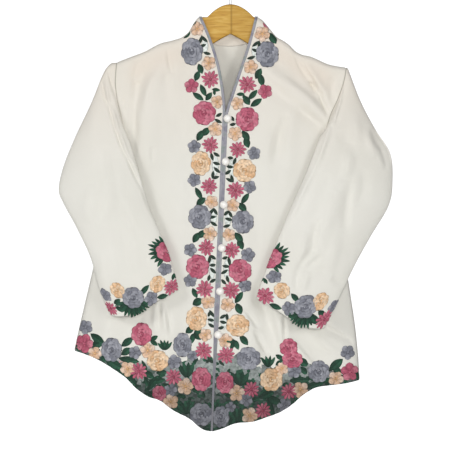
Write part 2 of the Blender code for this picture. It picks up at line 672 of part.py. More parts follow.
def hanger():
    """The wooden bar: rounded sections along X, between the shoulder line and a pointed arch,
    with a hole in the crown for the hook's stem."""
    right = np.linspace(HANGER_END_RIGHT_X, 0, 26)
    left = np.linspace(0, HANGER_END_LEFT_X, 26)[1:]
    x = np.concatenate([right, left])
    slope = (shoulder_z(x + 1) - shoulder_z(x - 1)) / 2
    under_cloth = shoulder_z(x) - HANGER_UNDER_CLOTH * (1 + slope**2)
    top = np.maximum(HANGER_CROWN_Z - HANGER_DOME * x**2, under_cloth)
    from_middle = column(HANGER_COLUMNS, HANGER_UNDERSIDE, "from_middle")
    under = np.interp(np.abs(x), from_middle, column(HANGER_COLUMNS, HANGER_UNDERSIDE, "under_z"))
    half = HANGER_THICK / 2
    edge = HANGER_EDGE_ROUND
    section = (  # y, and how far in from the top (positive) or the underside (negative)
        (half, edge), (half * 0.7, edge * 0.35), (half * 0.25, 0.01),
        (-half * 0.25, 0.01), (-half * 0.7, edge * 0.35), (-half, edge),
        (-half, -edge), (-half * 0.6, -0.01), (half * 0.6, -0.01), (half, -edge),
    )
    work = bmesh.new()
    rings = []
    for at, high, low in zip(x, top, under):
        ring = []
        for y, inset in section:
            z = high - inset if inset > 0 else low - inset
            ring.append(work.verts.new((at * MM, y * MM, z * MM)))
        rings.append(ring)
    for ring, following in zip(rings, rings[1:]):
        for i in range(len(section)):
            j = (i + 1) % len(section)
            work.faces.new((ring[i], ring[j], following[j], following[i]))
    work.faces.new(rings[0])
    work.faces.new(rings[-1])
    bmesh.ops.recalc_face_normals(work, faces=work.faces)
    mesh = bpy.data.meshes.new("hanger")
    work.to_mesh(mesh)
    work.free()
    piece = place("hanger", mesh, "golden_beech")
    mesh.set_sharp_from_angle(angle=math.radians(50))
    depth_in_wood = HOOK_STEM_IN_WOOD + SEAM_GAP
    bpy.ops.mesh.primitive_cylinder_add(
        vertices=16, radius=(HOOK_WIRE / 2 + SEAM_GAP) * MM, depth=2 * depth_in_wood * MM,
        location=(0, 0, HANGER_CROWN_Z * MM),
    )
    drill = bpy.context.object
    drill.name = "hook_hole_cutter"
    drill.hide_render = True
    drill.display_type = "WIRE"
    hole = piece.modifiers.new("hook_hole", "BOOLEAN")
    hole.operation = "DIFFERENCE"
    hole.object = drill


def hook():
    """A bent wire: up from the wood, then round the rail. The rail touches it at the origin."""
    radius = HOOK_INSIDE_RADIUS + HOOK_WIRE / 2
    path = list(HOOK_PATH)
    for turn in np.radians(np.linspace(HOOK_START_ANGLE, HOOK_END_ANGLE, 24)):
        path.append((radius * math.cos(turn), radius * math.sin(turn) - HOOK_INSIDE_RADIUS))
    route = bpy.data.curves.new("hook", "CURVE")
    route.dimensions = "3D"
    route.bevel_depth = HOOK_WIRE / 2 * MM
    route.bevel_resolution = 2
    route.use_fill_caps = True
    spline = route.splines.new("POLY")
    spline.points.add(len(path) - 1)
    for point, (x, z) in zip(spline.points, path):
        point.co = (x * MM, 0, z * MM, 1)
    route.materials.append(material("plated_steel"))
    piece = bpy.data.objects.new("hook", route)
    bpy.context.scene.collection.objects.link(piece)


def main():
    for old in list(bpy.data.objects):
        bpy.data.objects.remove(old)
    on_top = CLOTH / 2 + SEAM_GAP + BINDING_THICK / 2
    back = back_points()
    for side, word in ((-1, "right"), (1, "left")):
        front = front_points(side)
        sleeve = sleeve_points(front, back, side)
        strip = lifted(front, on_top, -1)[1:, :2]
        sheet(f"front_{word}", front, "white_voile")
        for half, wall in zip(("front", "back"), sleeve_walls(sleeve)):
            for place_on_arm, first, last in SLEEVE_STRETCHES:
                name = f"sleeve_{word}_{half}_{place_on_arm}"
                sheet(name, stretch(wall, first, last), "white_voile")
        sheet(f"binding_{word}", strip, "lavender_binding", BINDING_THICK)
    neck = neck_columns(back)
    sheet("back", back, "white_voile")
    facing = lifted(back, CLOTH + SEAM_GAP, -1)[:FACING_ROWS, neck]
    sheet("back_neck_facing", facing, "white_voile")
    strip = lifted(back, on_top, 1)[:NECK_BINDING_ROWS, neck]
    sheet("binding_back_neck", strip, "lavender_binding", BINDING_THICK)
    for index in range(BUTTON_COUNT):
        button(index)
    hanger()
    hook()


main()
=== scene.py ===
# %% [markdown]
# # A kebaya blouse on its hanger
# The blouse is fine white cotton with coloured machine embroidery down both fronts, round the
# pointed hem and on the cuffs. It hangs buttoned on a wooden hanger. Every piece here is put round
# a fixed frame of solids, in metres, with +Z up and the blouse's front towards -Y. Right and left
# are the wearer's, so the right side is at -X.

# %% The frame
import math

import bpy
import numpy as np
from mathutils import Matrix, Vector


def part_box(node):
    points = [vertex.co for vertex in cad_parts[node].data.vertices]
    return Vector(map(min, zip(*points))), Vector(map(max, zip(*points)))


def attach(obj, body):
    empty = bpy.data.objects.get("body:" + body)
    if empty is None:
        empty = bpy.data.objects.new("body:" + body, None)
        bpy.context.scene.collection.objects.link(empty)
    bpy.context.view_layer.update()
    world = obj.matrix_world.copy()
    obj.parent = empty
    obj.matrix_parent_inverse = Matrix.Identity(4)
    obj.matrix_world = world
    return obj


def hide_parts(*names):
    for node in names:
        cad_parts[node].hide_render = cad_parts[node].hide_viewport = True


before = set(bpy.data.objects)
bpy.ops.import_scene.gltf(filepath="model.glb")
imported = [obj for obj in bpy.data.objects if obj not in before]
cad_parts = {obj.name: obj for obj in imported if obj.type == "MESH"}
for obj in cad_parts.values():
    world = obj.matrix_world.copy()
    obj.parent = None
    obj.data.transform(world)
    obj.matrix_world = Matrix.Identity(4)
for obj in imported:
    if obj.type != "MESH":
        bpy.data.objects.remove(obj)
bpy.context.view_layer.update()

# %% [markdown]
# ## Camera
# The blouse is looked at straight from the front. A long lens from six metres keeps the cuffs,
# which hang nearest, from looking larger than the rest.

# %% Camera
MM = 0.001
SENSOR = 36.0  # mm
VIEW_DISTANCE = 6.0
VIEW_WIDTH = 0.81  # what the square picture spans at the hanger, in metres
VIEW_CENTRE = (-0.0099, -0.4724)  # x and z

camera = bpy.data.objects.new("camera", bpy.data.cameras.new("camera"))
camera.data.sensor_width = SENSOR
camera.data.lens = SENSOR * VIEW_DISTANCE / VIEW_WIDTH
camera.location = (VIEW_CENTRE[0], -VIEW_DISTANCE, VIEW_CENTRE[1])
camera.rotation_euler = (math.radians(90), 0, 0)
bpy.context.scene.collection.objects.link(camera)
bpy.context.scene.camera = camera
print("camera: lens", round(camera.data.lens), "mm from", VIEW_DISTANCE, "m")

# %% [markdown]
# ## Helpers
# Colours are written as the hex values that a screen shows, and one function turns them to the
# linear values that light is worked out in. Another function adds one shader node, with its
# settings and its links. Every mesh is a grid of points, closed to a ring where it needs to be.


# %% Colour and node helpers
def linear(hex_colour):
    """sRGB hex to linear: c/12.92 for the darkest, else ((c + 0.055)/1.055) to the power 2.4."""
    channels = np.array([int(hex_colour[i:i + 2], 16) for i in (1, 3, 5)]) / 255
    return np.where(channels <= 0.04045, channels / 12.92, ((channels + 0.055) / 1.055) ** 2.4)


def rgba(hex_colour):
    return (*linear(hex_colour).tolist(), 1.0)


def add_node(tree, kind, links=(), **settings):
    """Add a node of that kind. settings are its properties, or its inputs' values where an input
    has that name (spaces as underscores), and links are (input, output socket) pairs."""
    node = tree.nodes.new(kind)
    inputs = {}
    for socket in node.inputs:
        inputs.setdefault(socket.name.replace(" ", "_").lower(), socket)
    for name, value in settings.items():
        if hasattr(node, name):
            setattr(node, name, value)
        else:
            inputs[name].default_value = value
    for name, output in links:
        socket = node.inputs[name] if isinstance(name, int) else inputs[name]
        tree.links.new(output, socket)
    return node


# %% Material helpers
def new_material(name, **settings):
    """A material whose Principled shader has these inputs set on its own sockets."""
    made = bpy.data.materials.new(name)
    made.use_nodes = True
    shader = made.node_tree.nodes["Principled BSDF"]
    for socket, value in settings.items():
        shader.inputs[socket.replace("_", " ")].default_value = value
    return made, made.node_tree, shader


def placed(tree):
    """The coordinates that patterns are laid in: "Object" in metres, "UV" in millimetres."""
    return add_node(tree, "ShaderNodeTexCoord").outputs


def attribute(tree, name):
    return add_node(tree, "ShaderNodeAttribute", attribute_name=name).outputs


def noise(tree, vector, scale, **settings):
    links = [("vector", vector)]
    return add_node(tree, "ShaderNodeTexNoise", links, scale=scale, **settings).outputs["Fac"]


def ridges(tree, vector, pitch, direction="Y", **settings):
    """Bands one pitch apart. A wave texture repeats every 2 pi/(20 scale)."""
    return add_node(tree, "ShaderNodeTexWave", [("vector", vector)], bands_direction=direction,
                    scale=2 * math.pi / pitch / 20, **settings).outputs["Fac"]


def stretch(tree, vector, scale, **settings):
    links = [("vector", vector)]
    return add_node(tree, "ShaderNodeMapping", links, scale=scale, **settings).outputs[0]


def blend(tree, share, first, second):
    """Mix two colours by a share. Each colour is a hex value or another node's output."""
    mixed = add_node(tree, "ShaderNodeMix", [(0, share)], data_type="RGBA")
    for socket, colour in ((6, first), (7, second)):
        if isinstance(colour, str):
            mixed.inputs[socket].default_value = rgba(colour)
        else:
            tree.links.new(colour, mixed.inputs[socket])
    return mixed.outputs[2]


def colour_ramp(tree, share, stops):
    """Colours by share, from (position, hex colour) pairs."""
    made = add_node(tree, "ShaderNodeValToRGB", [(0, share)])
    elements = made.color_ramp.elements
    while len(elements) < len(stops):
        elements.new(0.5)
    for element, (position, hex_colour) in zip(elements, stops):
        element.position, element.color = position, rgba(hex_colour)
    return made.outputs[0]


def dress(tree, shader, colour, relief=None, strength=0.0, distance=0.0):
    """Link a shader's colour and, where there is a relief, a bump of that many metres."""
    tree.links.new(colour, shader.inputs["Base Color"])
    if relief is not None:
        bump = add_node(tree, "ShaderNodeBump", [("height", relief)], strength=strength,
                        distance=distance)
        tree.links.new(bump.outputs[0], shader.inputs["Normal"])


# %% Mesh helpers
def new_mesh(name, points, faces, uv=None):
    """A smooth mesh from points in millimetres, with a UV in millimetres too."""
    mesh = bpy.data.meshes.new(name)
    mesh.from_pydata((points * MM).tolist(), [], faces)
    if uv is not None:
        corner = np.empty(len(mesh.loops), int)
        mesh.loops.foreach_get("vertex_index", corner)
        layer = mesh.uv_layers.new(name="UVMap")
        layer.data.foreach_set("uv", uv[corner].astype(np.float32).ravel())
    mesh.shade_smooth()
    return mesh


def grid_mesh(name, points, ring=False, caps=False, uv=None, attributes=()):
    """A mesh on a grid of points in millimetres, shaped (rows, columns, 3). A ring joins the last
    column to the first, and caps close a ring's first and last rows with one face each."""
    rows, columns = points.shape[:2]
    index = np.arange(rows * columns).reshape(rows, columns)
    right = np.roll(index, -1, axis=1) if ring else index[:, 1:]
    here = index if ring else index[:, :-1]
    quads = np.stack([here[:-1], right[:-1], right[1:], here[1:]], -1).reshape(-1, 4)
    faces = quads.tolist()
    if caps:
        faces += [index[0, ::-1].tolist(), index[-1].tolist()]
    mesh = new_mesh(name, points.reshape(-1, 3), faces, None if uv is None else uv.reshape(-1, 2))
    for label, values in attributes:
        layer = mesh.attributes.new(label, "FLOAT", "POINT")
        layer.data.foreach_set("value", values.astype(np.float32).ravel())
    return mesh


def measured_uv(points):
    """Arc lengths in millimetres across and down a grid of points, as its UV."""
    across = np.linalg.norm(np.diff(points, axis=1), axis=-1)
    down = np.linalg.norm(np.diff(points, axis=0), axis=-1)
    u = np.concatenate([np.zeros((len(points), 1)), across.cumsum(1)], 1)
    v = np.concatenate([np.zeros((1, points.shape[1])), down.cumsum(0)], 0)
    return np.stack([u - u.mean(1, keepdims=True), -v], -1)


def finish_piece(name, mesh, material, replaced=()):
    """Put a mesh in the scene as a piece that rides on the one body of the frame."""
    mesh.materials.append(material)
    piece = bpy.data.objects.new(name, mesh)
    bpy.context.scene.collection.objects.link(piece)
    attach(piece, "root")
    if replaced:
        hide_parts(*replaced)
    return piece


# %% [markdown]
# ## The cut of the blouse
# A blouse on a hanger is two fronts and a back that turn over the hanger's arms, and two sleeves
# that fall beside them and swing in front of the body. Each wall is a formula of two parameters
# whose sizes come from short tables, in millimetres. They follow the frame's own sizes, so that the
# fine cloth lies where the solids are, and differ by a few millimetres at the hem, the cuffs and
# the right shoulder.

# %% Tables and curves through them
def table(names, *rows):
    """A dictionary of named columns, each an array, from rows of numbers."""
    return dict(zip(names.split(), np.array(rows, float).T))


def through(x, knots, values):
    """Smooth curve through (knots, values), read at x: a cubic between neighbours, whose slope
    at each knot is the slope of the table there. Past the ends it keeps the end value."""
    order = np.argsort(knots)
    knots, values = knots[order], values[order]
    slopes = np.gradient(values, knots)
    x = np.clip(x, knots[0], knots[-1])
    at = np.clip(np.searchsorted(knots, x) - 1, 0, len(knots) - 2)
    span = knots[at + 1] - knots[at]
    t = (x - knots[at]) / span
    return (
        values[at] * (1 + 2 * t) * (1 - t) ** 2
        + slopes[at] * span * t * (1 - t) ** 2
        + values[at + 1] * t**2 * (3 - 2 * t)
        + slopes[at + 1] * span * t**2 * (t - 1)
    )


def read(x, rows, name):
    """One column of a table, read at x along the table's first column."""
    return through(x, next(iter(rows.values())), rows[name])


def ease(t):
    """0 to 1, level at both ends: 3t^2 - 2t^3."""
    t = np.clip(t, 0, 1)
    return t * t * (3 - 2 * t)


# %% Tables of the body
WORD = {-1: "right", 1: "left"}  # the wearer's side, by the sign of x
CLOTH = 0.6  # thickness of the shells
SEAM_GAP = 0.3
SEAM_HALF = 0.45
SEAM_FADE, SHOULDER_FADE = 40.0, 60.0
SHOULDER_ROLL, SHOULDER_SETTLE = 9.0, 120.0
BACK_DEPTH_SHARE = 0.85
NECK_Z, BACK_NECK_DROP = -96.5, 28.0
FRONT_POINT_Z, BACK_HEM_DROOP = -840.0, 14.0
HEM_CORNER_Z = {-1: -697.0, 1: -750.0}
SHOULDER_TIP = {-1: (-204.5, -180.5), 1: (208, -190.0)}  # x and z where the armhole starts
UNDERARM_Z, UNDERARM_SHARE = -389.0, 0.365
OPENING_TOP_Z, OPENING_TOP_X, OPENING_LEAN = -272.0, -9.2, 0.0431

BODY = table(  # half widths and half depth
    "z right left depth",
    (-850, 268, 268, 45), (-750, 262, 261.5, 43), (-700, 253.5, 256, 41), (-650, 244.5, 248.5, 39),
    (-608, 236.5, 240.5, 37), (-550, 225.5, 229.5, 35), (-488, 215, 222, 33), (-389, 217, 226, 32),
    (-308, 220, 226, 29), (-193, 221, 226, 21), (-98, 221, 226, 18),
)
NECKLINE = table(
    "z right left",
    (-272, -9.4, -9.0), (-258, -9.8, -5.0), (-243, -11.2, 0.2), (-218, -14.4, 8.4),
    (-187, -20.2, 18.6), (-156, -29.0, 29.0), (-125, -40.5, 37.8), (-98.5, -52.0, 44.5),
)
SHOULDER = {
    -1: table(
        "x z",
        SHOULDER_TIP[-1], (-180, -170.8), (-156, -161.8), (-125, -146.0), (-103, -140.5),
        (-84, -133.0), (-74, -124.0), (-66, -110.0), (-60, -102.0), (-52, NECK_Z),
    ),
    1: table(
        "x z",
        (44.5, NECK_Z), (58, -105.5), (69, -118.5), (84, -135.5), (94, -141.0), (105, -149.0),
        (116, -160.0), (127, -166.0), (142, -169.5), (178, -184.5), SHOULDER_TIP[1],
    ),
}
ARMHOLE = table(
    "z right left",
    (-389, -231.2, 211.8), (-372, -211.0, 195.5), (-345, -198.0, 179.5), (-310, -191.5, 172.5),
    (-280, -196.0, 177.0), (-245, -204.0, 193.0), (-215, -206.5, 203.0), (-184, -204.5, 208.5),
)
HEM_CURVE = table(  # share of the way from the point to the side, and how far off straight
    "share right left",
    (0.0, 0.0, 0.0), (0.06, -5.0, -1.0), (0.16, 0.0, 0.5), (0.28, -1.8, -7.5), (0.37, 2.0, -7.5),
    (0.46, -3.6, -6.8), (0.54, -2.0, -0.8), (0.62, 6.5, 10.2), (0.7, 9.0, 14.6), (0.8, 10.2, 9.5),
    (0.9, 6.8, 3.6), (1.0, 0.0, 0.0),
)

# %% Soft folds of the body
# Each row is a ridge (positive) or a trough (negative) from one point to another.
FRONT_FOLDS = (
    (-100, -165, -150, -330, 26, 5.0), (-112, -160, -125, -300, 16, -3.0),
    (-60, -150, -95, -330, 24, -3.5), (-156, -172, -174, -290, 13, -5.0),
    (-118, -170, -158, -270, 16, 4.0), (80, -205, 172, -284, 13, 5.5),
    (84, -236, 165, -298, 13, -4.5), (116, -160, 172, -268, 9, -4.5),
    (140, -176, 176, -262, 10, 4.0), (97, -287, 78, -349, 9, -3.5), (110, -270, 100, -370, 14, 3.0),
    (-120, -620, -112, -860, 22, 5.5), (-150, -640, -160, -820, 20, -4.5),
    (-215, -600, -236, -780, 26, 5.0), (-75, -640, -70, -880, 20, -4.0),
    (24, -600, 66, -860, 18, 6.0), (50, -600, 88, -760, 16, -5.0), (84, -600, 106, -840, 16, 4.5),
    (120, -650, 178, -740, 18, -4.5), (165, -640, 222, -690, 18, 4.5),
)
BACK_FOLDS = (
    (-70, -170, -150, -330, 28, 5.0), (75, -175, 150, -330, 28, 5.0),
    (-20, -190, -30, -380, 34, -4.0), (-150, -520, -200, -800, 30, 4.5),
    (-95, -560, -112, -820, 26, -3.5), (-40, -440, -45, -840, 30, 4.0),
    (20, -580, 25, -840, 24, -3.0), (80, -460, 108, -840, 30, 5.0),
    (145, -600, 184, -840, 26, -4.0),
)


# %% The body's surfaces
def opening_x(z):
    """The line where the two fronts meet."""
    return OPENING_TOP_X + OPENING_LEAN * (z - OPENING_TOP_Z)


def side_x(z, side):
    """The side seam's line, at -X for side -1 and +X for side 1."""
    return opening_x(z) + side * read(z, BODY, WORD[side])


def shoulder_z(x):
    """Height of the shoulder line, level across the neck."""
    return np.where(x < 0, read(x, SHOULDER[-1], "z"), read(x, SHOULDER[1], "z"))


def depth(x, z):
    """How far the cloth stands from the middle plane: a quarter turn of SHOULDER_ROLL over the
    hanger's arm, then half an ellipse that closes at the side seams and eases in below."""
    below = np.maximum(shoulder_z(x) - z, 0)
    roll = np.sqrt(1 - (1 - np.minimum(below / SHOULDER_ROLL, 1)) ** 2)
    reach = np.where(x < opening_x(z), opening_x(z) - side_x(z, -1), side_x(z, 1) - opening_x(z))
    across = np.clip(np.abs(x - opening_x(z)) / reach, 0, 1)
    full = read(z, BODY, "depth") * np.sqrt(1 - across**2)
    settled = ease(below / SHOULDER_SETTLE)
    return SHOULDER_ROLL * roll + (full - SHOULDER_ROLL) * settled


def beside_line(x, z, x0, z0, x1, z1):
    """How far along a line points lie, as a share, how far off it, and its length."""
    along_x, along_z = x1 - x0, z1 - z0
    length = math.hypot(along_x, along_z)
    t = ((x - x0) * along_x + (z - z0) * along_z) / length**2
    return t, ((x - x0) * along_z - (z - z0) * along_x) / length, length


def folds(x, z, rows):
    """Sum of soft folds: each is a bell, exp(-(distance/width)^2), fading at the line's ends."""
    total = np.zeros(np.broadcast(x, z).shape)
    for *line, half_width, height in rows:
        t, off, length = beside_line(x, z, *line)
        past = np.maximum(np.maximum(-t, t - 1), 0) * length
        bell = np.exp(-((off / half_width) ** 2) - (past / (2 * half_width)) ** 2)
        total = total + height * bell
    return total


def edge_fade(x, z, side_fade=SEAM_FADE, top_fade=SHOULDER_FADE):
    """0 on the side seams and the shoulder line, 1 away from them, so that seams meet."""
    from_side = np.minimum(x - side_x(z, -1), side_x(z, 1) - x)
    return ease(from_side / side_fade) * ease((shoulder_z(x) - z) / top_fade)


# %% [markdown]
# ## Creases
# Voile keeps every pull and press, so the large folds carry smaller creases: long shallow ones
# that run from the shoulders to the underarms, and short soft ones above the hem. Each is listed
# one by one, as a bell across a slightly bowed line. Its two sides have their own widths, so one
# side is steeper, and it rises and dies away along its length.

# %% Crease tables
# x0, z0, x1, z1, bow, left width, right width, height
FRONT_CREASES = (
    (-161, -166, -171, -262, 3, 7, 9, -2.2), (-172, -246, -171, -350, 0, 8, 6, -2.4),
    (-138, -200, -158, -268, 3, 8, 6, 2.4), (-113, -152, -103, -206, 2, 4, 7, -2.2),
    (-104, -190, -120, -222, 2, 8, 7, -1.2), (-194, -242, -186, -272, 2, 3, 4, -1.6),
    (-141, -330, -139, -362, 0, 3, 4, -1.4), (-120, -180, -84, -330, 6, 12, 16, -1.2),
    (-128, -470, -121, -560, 4, 10, 14, -1.6), (-96, -330, -88, -470, -4, 16, 12, 1.4),
    (-60, -430, -66, -560, 3, 12, 9, -1.2), (-127, -606, -126, -668, 1, 4, 5, -2.6),
    (-133, -610, -136, -664, 1, 5, 5, 1.8), (-118, -608, -108, -672, -2, 4, 5, -2.6),
    (-122, -612, -114, -668, 0, 4, 5, 1.8), (-150, -622, -152, -676, 2, 5, 7, 1.4),
    (-170, -640, -196, -700, 4, 12, 9, -1.8), (-206, -560, -228, -700, -4, 14, 12, 1.8),
    (115, -158, 135, -206, 2, 3, 6, -2.4), (129, -190, 164, -242, 2, 3, 7, -3.2),
    (158, -230, 175, -276, 1, 3, 7, -3.4), (134, -180, 168, -232, 2, 5, 6, 1.8),
    (92, -206, 173, -278, -3, 9, 6, 3.0), (120, -262, 170, -296, 2, 6, 8, -1.8),
    (148, -200, 152, -236, 2, 4, 5, -1.4), (186, -200, 183, -262, 2, 8, 7, -2.4),
    (88, -290, 96, -372, 5, 11, 14, -2.0), (62, -300, 70, -420, -4, 15, 12, 1.6),
    (48, -420, 52, -540, 4, 12, 14, -1.4), (24, -624, 49, -660, -1, 2.5, 7, -3.6),
    (41, -660, 64, -704, 1, 2.5, 7, -3.8), (50, -598, 90, -712, -3, 9, 9, -3.6),
    (96, -632, 98, -690, 1, 3, 4, -3.4), (112, -680, 151, -726, 1, 6, 3, 3.0),
    (154, -644, 230, -688, 0, 9, 4, -3.6), (150, -668, 214, -716, 3, 8, 8, 2.0),
)
BACK_CREASES = (
    (-158, -196, -176, -250, 3, 8, 5, -2.4), (-120, -180, -146, -290, -4, 10, 8, 2.4),
    (-96, -176, -112, -330, 4, 9, 12, -2.2), (-64, -190, -74, -360, -3, 14, 10, 1.8),
    (-30, -160, -24, -300, 3, 12, 12, -1.4), (28, -165, 30, -320, -3, 12, 13, 1.5),
    (70, -186, 92, -330, 4, 9, 12, -2.2), (112, -190, 140, -300, -4, 9, 7, 2.4),
    (150, -206, 168, -262, 3, 6, 8, -2.4), (-180, -420, -168, -560, 6, 14, 11, 1.8),
    (-120, -440, -104, -600, -5, 13, 10, -2.0), (-46, -420, -52, -560, 4, 12, 15, 1.4),
    (26, -430, 34, -590, -5, 12, 14, -1.8), (96, -450, 84, -600, 5, 13, 10, 2.0),
    (160, -420, 172, -560, -4, 12, 12, -1.8), (-206, -600, -226, -690, 3, 12, 9, 2.4),
    (-132, -610, -140, -700, -3, 9, 8, -2.4), (-66, -630, -58, -720, 3, 8, 9, 2.2),
    (8, -640, 10, -730, -3, 9, 8, -2.2), (64, -620, 74, -726, 3, 9, 8, 2.4),
    (128, -640, 150, -736, -4, 9, 10, -2.6), (196, -620, 222, -720, 4, 10, 12, 2.2),
)


# %% Crease formula
CREASE_RELIEF = 1.6  # one factor on every height in the crease tables
CREASE_ENDS = 0.8  # below 1, a crease is fuller towards its ends than a sine


def creases(x, z, rows):
    """Sum of creases. t runs from 0 to 1 along the chord and off is the distance from it, less
    the bow 4 t (1 - t). A crease is height exp(-(off/width)^2), times sin(pi t) to a low power."""
    total = np.zeros(np.broadcast(x, z).shape)
    for *line, bow, left_width, right_width, height in rows:
        t, off, _ = beside_line(x, z, *line)
        t = np.clip(t, 0, 1)
        off = off - bow * 4 * t * (1 - t)
        width = np.where(off < 0, right_width, left_width)
        along = np.sin(math.pi * t) ** CREASE_ENDS
        total = total + height * along * np.exp(-((off / width) ** 2))
    return total * CREASE_RELIEF


CREASE_EDGE, CREASE_TOP = 14.0, 22.0  # mm from the sides and the shoulders where they flatten
WOOD_HALF = 7.4  # half the hanger's thickness, and a little more
WOOD_END_Z, FREE_ROOM, FREE_FADE = -212.0, 60.0, 30.0  # below the wood's end troughs are free


def wall_y(x, z, large, small, share=1.0):
    """How far a wall stands from its seam plane: the depth, the large folds and the creases. No
    trough is deeper than leaves WOOD_HALF of room for the hanger's arm."""
    rise = folds(x, z, large) * edge_fade(x, z)
    rise = rise + creases(x, z, small) * edge_fade(x, z, CREASE_EDGE, CREASE_TOP)
    stand = depth(x, z) * share
    room = stand + FREE_ROOM * ease((WOOD_END_Z - z) / FREE_FADE)
    return SEAM_HALF + stand + np.maximum(rise, -np.maximum(room - WOOD_HALF, 0))


def front_y(x, z):
    return -wall_y(x, z, FRONT_FOLDS, FRONT_CREASES)


def back_y(x, z):
    share = 1 + (BACK_DEPTH_SHARE - 1) * ease((shoulder_z(x) - z) / SHOULDER_SETTLE)
    return wall_y(x, z, BACK_FOLDS, BACK_CREASES, share)


# %% [markdown]
# ## Panels
# A panel's outline is four edges, and a Coons patch fills it: the blend of its two side edges plus
# the blend of its top and bottom edges, less the blend of its corners. That gives the panel's x
# and z, and the surface functions above give y.


# %% Panel outlines
def front_edge_x(z, side):
    """A front's inner edge: the neckline down to the opening's top, then the opening."""
    opening = opening_x(z) + side * SEAM_GAP / 2
    return np.where(z > OPENING_TOP_Z, read(z, NECKLINE, WORD[side]), opening)


def outer_edge_x(z, side):
    """A panel's outer edge: the armhole down to the underarm, then the side seam."""
    return np.where(z > UNDERARM_Z, read(z, ARMHOLE, WORD[side]), side_x(z, side))


def on_wall(wall_y_at, x, z, lift=0.0):
    """Points at (x, z) on the front or the back, moved by lift along y."""
    return np.stack([x, wall_y_at(x, z) + lift, z], -1)


def patch(top, bottom, start, end, across, down):
    """The Coons patch of four edges, at the shares across and down, as x and z."""
    u, w = np.meshgrid(across, down)
    u, w = u[..., None], w[..., None]
    top_left, top_right = top(np.array([0.0])), top(np.array([1.0]))
    low_left, low_right = bottom(np.array([0.0])), bottom(np.array([1.0]))
    corners = (1 - w) * ((1 - u) * top_left + u * top_right)
    corners = corners + w * ((1 - u) * low_left + u * low_right)
    rows = (1 - w) * top(across)[None] + w * bottom(across)[None]
    sides = (1 - u) * start(down)[:, None] + u * end(down)[:, None]
    return np.moveaxis(rows + sides - corners, -1, 0)


def outer_edge(w, side):
    """A panel's outer edge at shares down it, with the underarm at one share for every panel."""
    heights = (SHOULDER_TIP[side][1], UNDERARM_Z, HEM_CORNER_Z[side])
    z = np.interp(w, (0, UNDERARM_SHARE, 1), heights)
    return np.stack([outer_edge_x(z, side), z], -1)


def hem_z(share, side):
    """Height of a front's hem at a share of the way from its point to its side corner."""
    straight = FRONT_POINT_Z + (HEM_CORNER_Z[side] - FRONT_POINT_Z) * share
    return straight + read(share, HEM_CURVE, WORD[side])


def hem_ends_x(side):
    """x of a front's point and of its side corner."""
    return front_edge_x(FRONT_POINT_Z, side), side_x(HEM_CORNER_Z[side], side)


ROLL_TURN = np.radians([0, 15, 30, 45, 60, 75, 90])  # angles of the rows over the roll
ARMHOLE_DROP = 205.0  # about the height from the shoulder's tip to the underarm
ROLL_SHARES = SHOULDER_ROLL * (1 - np.cos(ROLL_TURN)) / ARMHOLE_DROP * UNDERARM_SHARE


def shares_down(count):
    """Shares down a panel: seven close rows over the shoulder's roll, and even ones below."""
    return np.concatenate([ROLL_SHARES, np.linspace(ROLL_SHARES[-1], 1, count)[1:]])


# %% Panel grids
FRONT_ACROSS, FRONT_DOWN = 104, 262
BACK_ACROSS, BACK_DOWN = 100, 150


def front_points(side, across, down):
    """One front on its grid, from the shoulder to the hem."""
    neck_x = front_edge_x(NECK_Z, side)
    point_x, corner_x = hem_ends_x(side)

    def top(u):
        x = neck_x + (SHOULDER_TIP[side][0] - neck_x) * u
        return np.stack([x, shoulder_z(x)], -1)

    def bottom(u):
        return np.stack([point_x + (corner_x - point_x) * u, hem_z(u, side)], -1)

    def start(w):
        z = NECK_Z + (FRONT_POINT_Z - NECK_Z) * w
        return np.stack([front_edge_x(z, side), z], -1)

    def end(w):
        return outer_edge(w, side)

    return on_wall(front_y, *patch(top, bottom, start, end, across, down))


NECK_RIGHT_X, NECK_LEFT_X = NECKLINE["right"][-1], NECKLINE["left"][-1]
NECK_MIDDLE_X = (NECK_RIGHT_X + NECK_LEFT_X) / 2
BACK_CORNER_X = [side_x(HEM_CORNER_Z[side], side) for side in WORD]  # right, left


def back_neck_z(x):
    """The back neckline: a parabola between the two neck points."""
    half = (NECK_LEFT_X - NECK_RIGHT_X) / 2
    return NECK_Z - BACK_NECK_DROP * np.clip(1 - ((x - NECK_MIDDLE_X) / half) ** 2, 0, 1)


def back_hem_z(u):
    """Height of the back's hem at a share of the way from its right corner to its left one."""
    right_z, left_z = HEM_CORNER_Z.values()
    return right_z + (left_z - right_z) * u - BACK_HEM_DROOP * np.sin(math.pi * u)


def back_points(across, down):
    """The back on its grid, from the shoulders to the hem."""
    low_right, low_left = BACK_CORNER_X

    def top(u):
        swing = 2 * u - 1
        reach = NECK_MIDDLE_X - SHOULDER_TIP[-1][0], SHOULDER_TIP[1][0] - NECK_MIDDLE_X
        x = NECK_MIDDLE_X + np.where(swing < 0, *reach) * swing
        return np.stack([x, np.minimum(shoulder_z(x), back_neck_z(x))], -1)

    def bottom(u):
        return np.stack([low_right + (low_left - low_right) * u, back_hem_z(u)], -1)

    def start(w):
        return outer_edge(w, -1)

    def end(w):
        return outer_edge(w, 1)

    return on_wall(back_y, *patch(top, bottom, start, end, across, down))


# %% [markdown]
# ## Voile
# Cotton voile is a thin, crisp plain weave. Its threads are too fine to see one by one, so it reads
# as a soft matt white with a faint grain, a little lighter where it turns edge on. Over the
# hanger's arms the golden wood shines through and warms it. The weave is drawn as a checked bump
# on the piece's own UV, in millimetres, and coarser than the real threads so that it can show.
# Inside the densely embroidered hem the voile shows muted patches, the wrong side of the stitches.

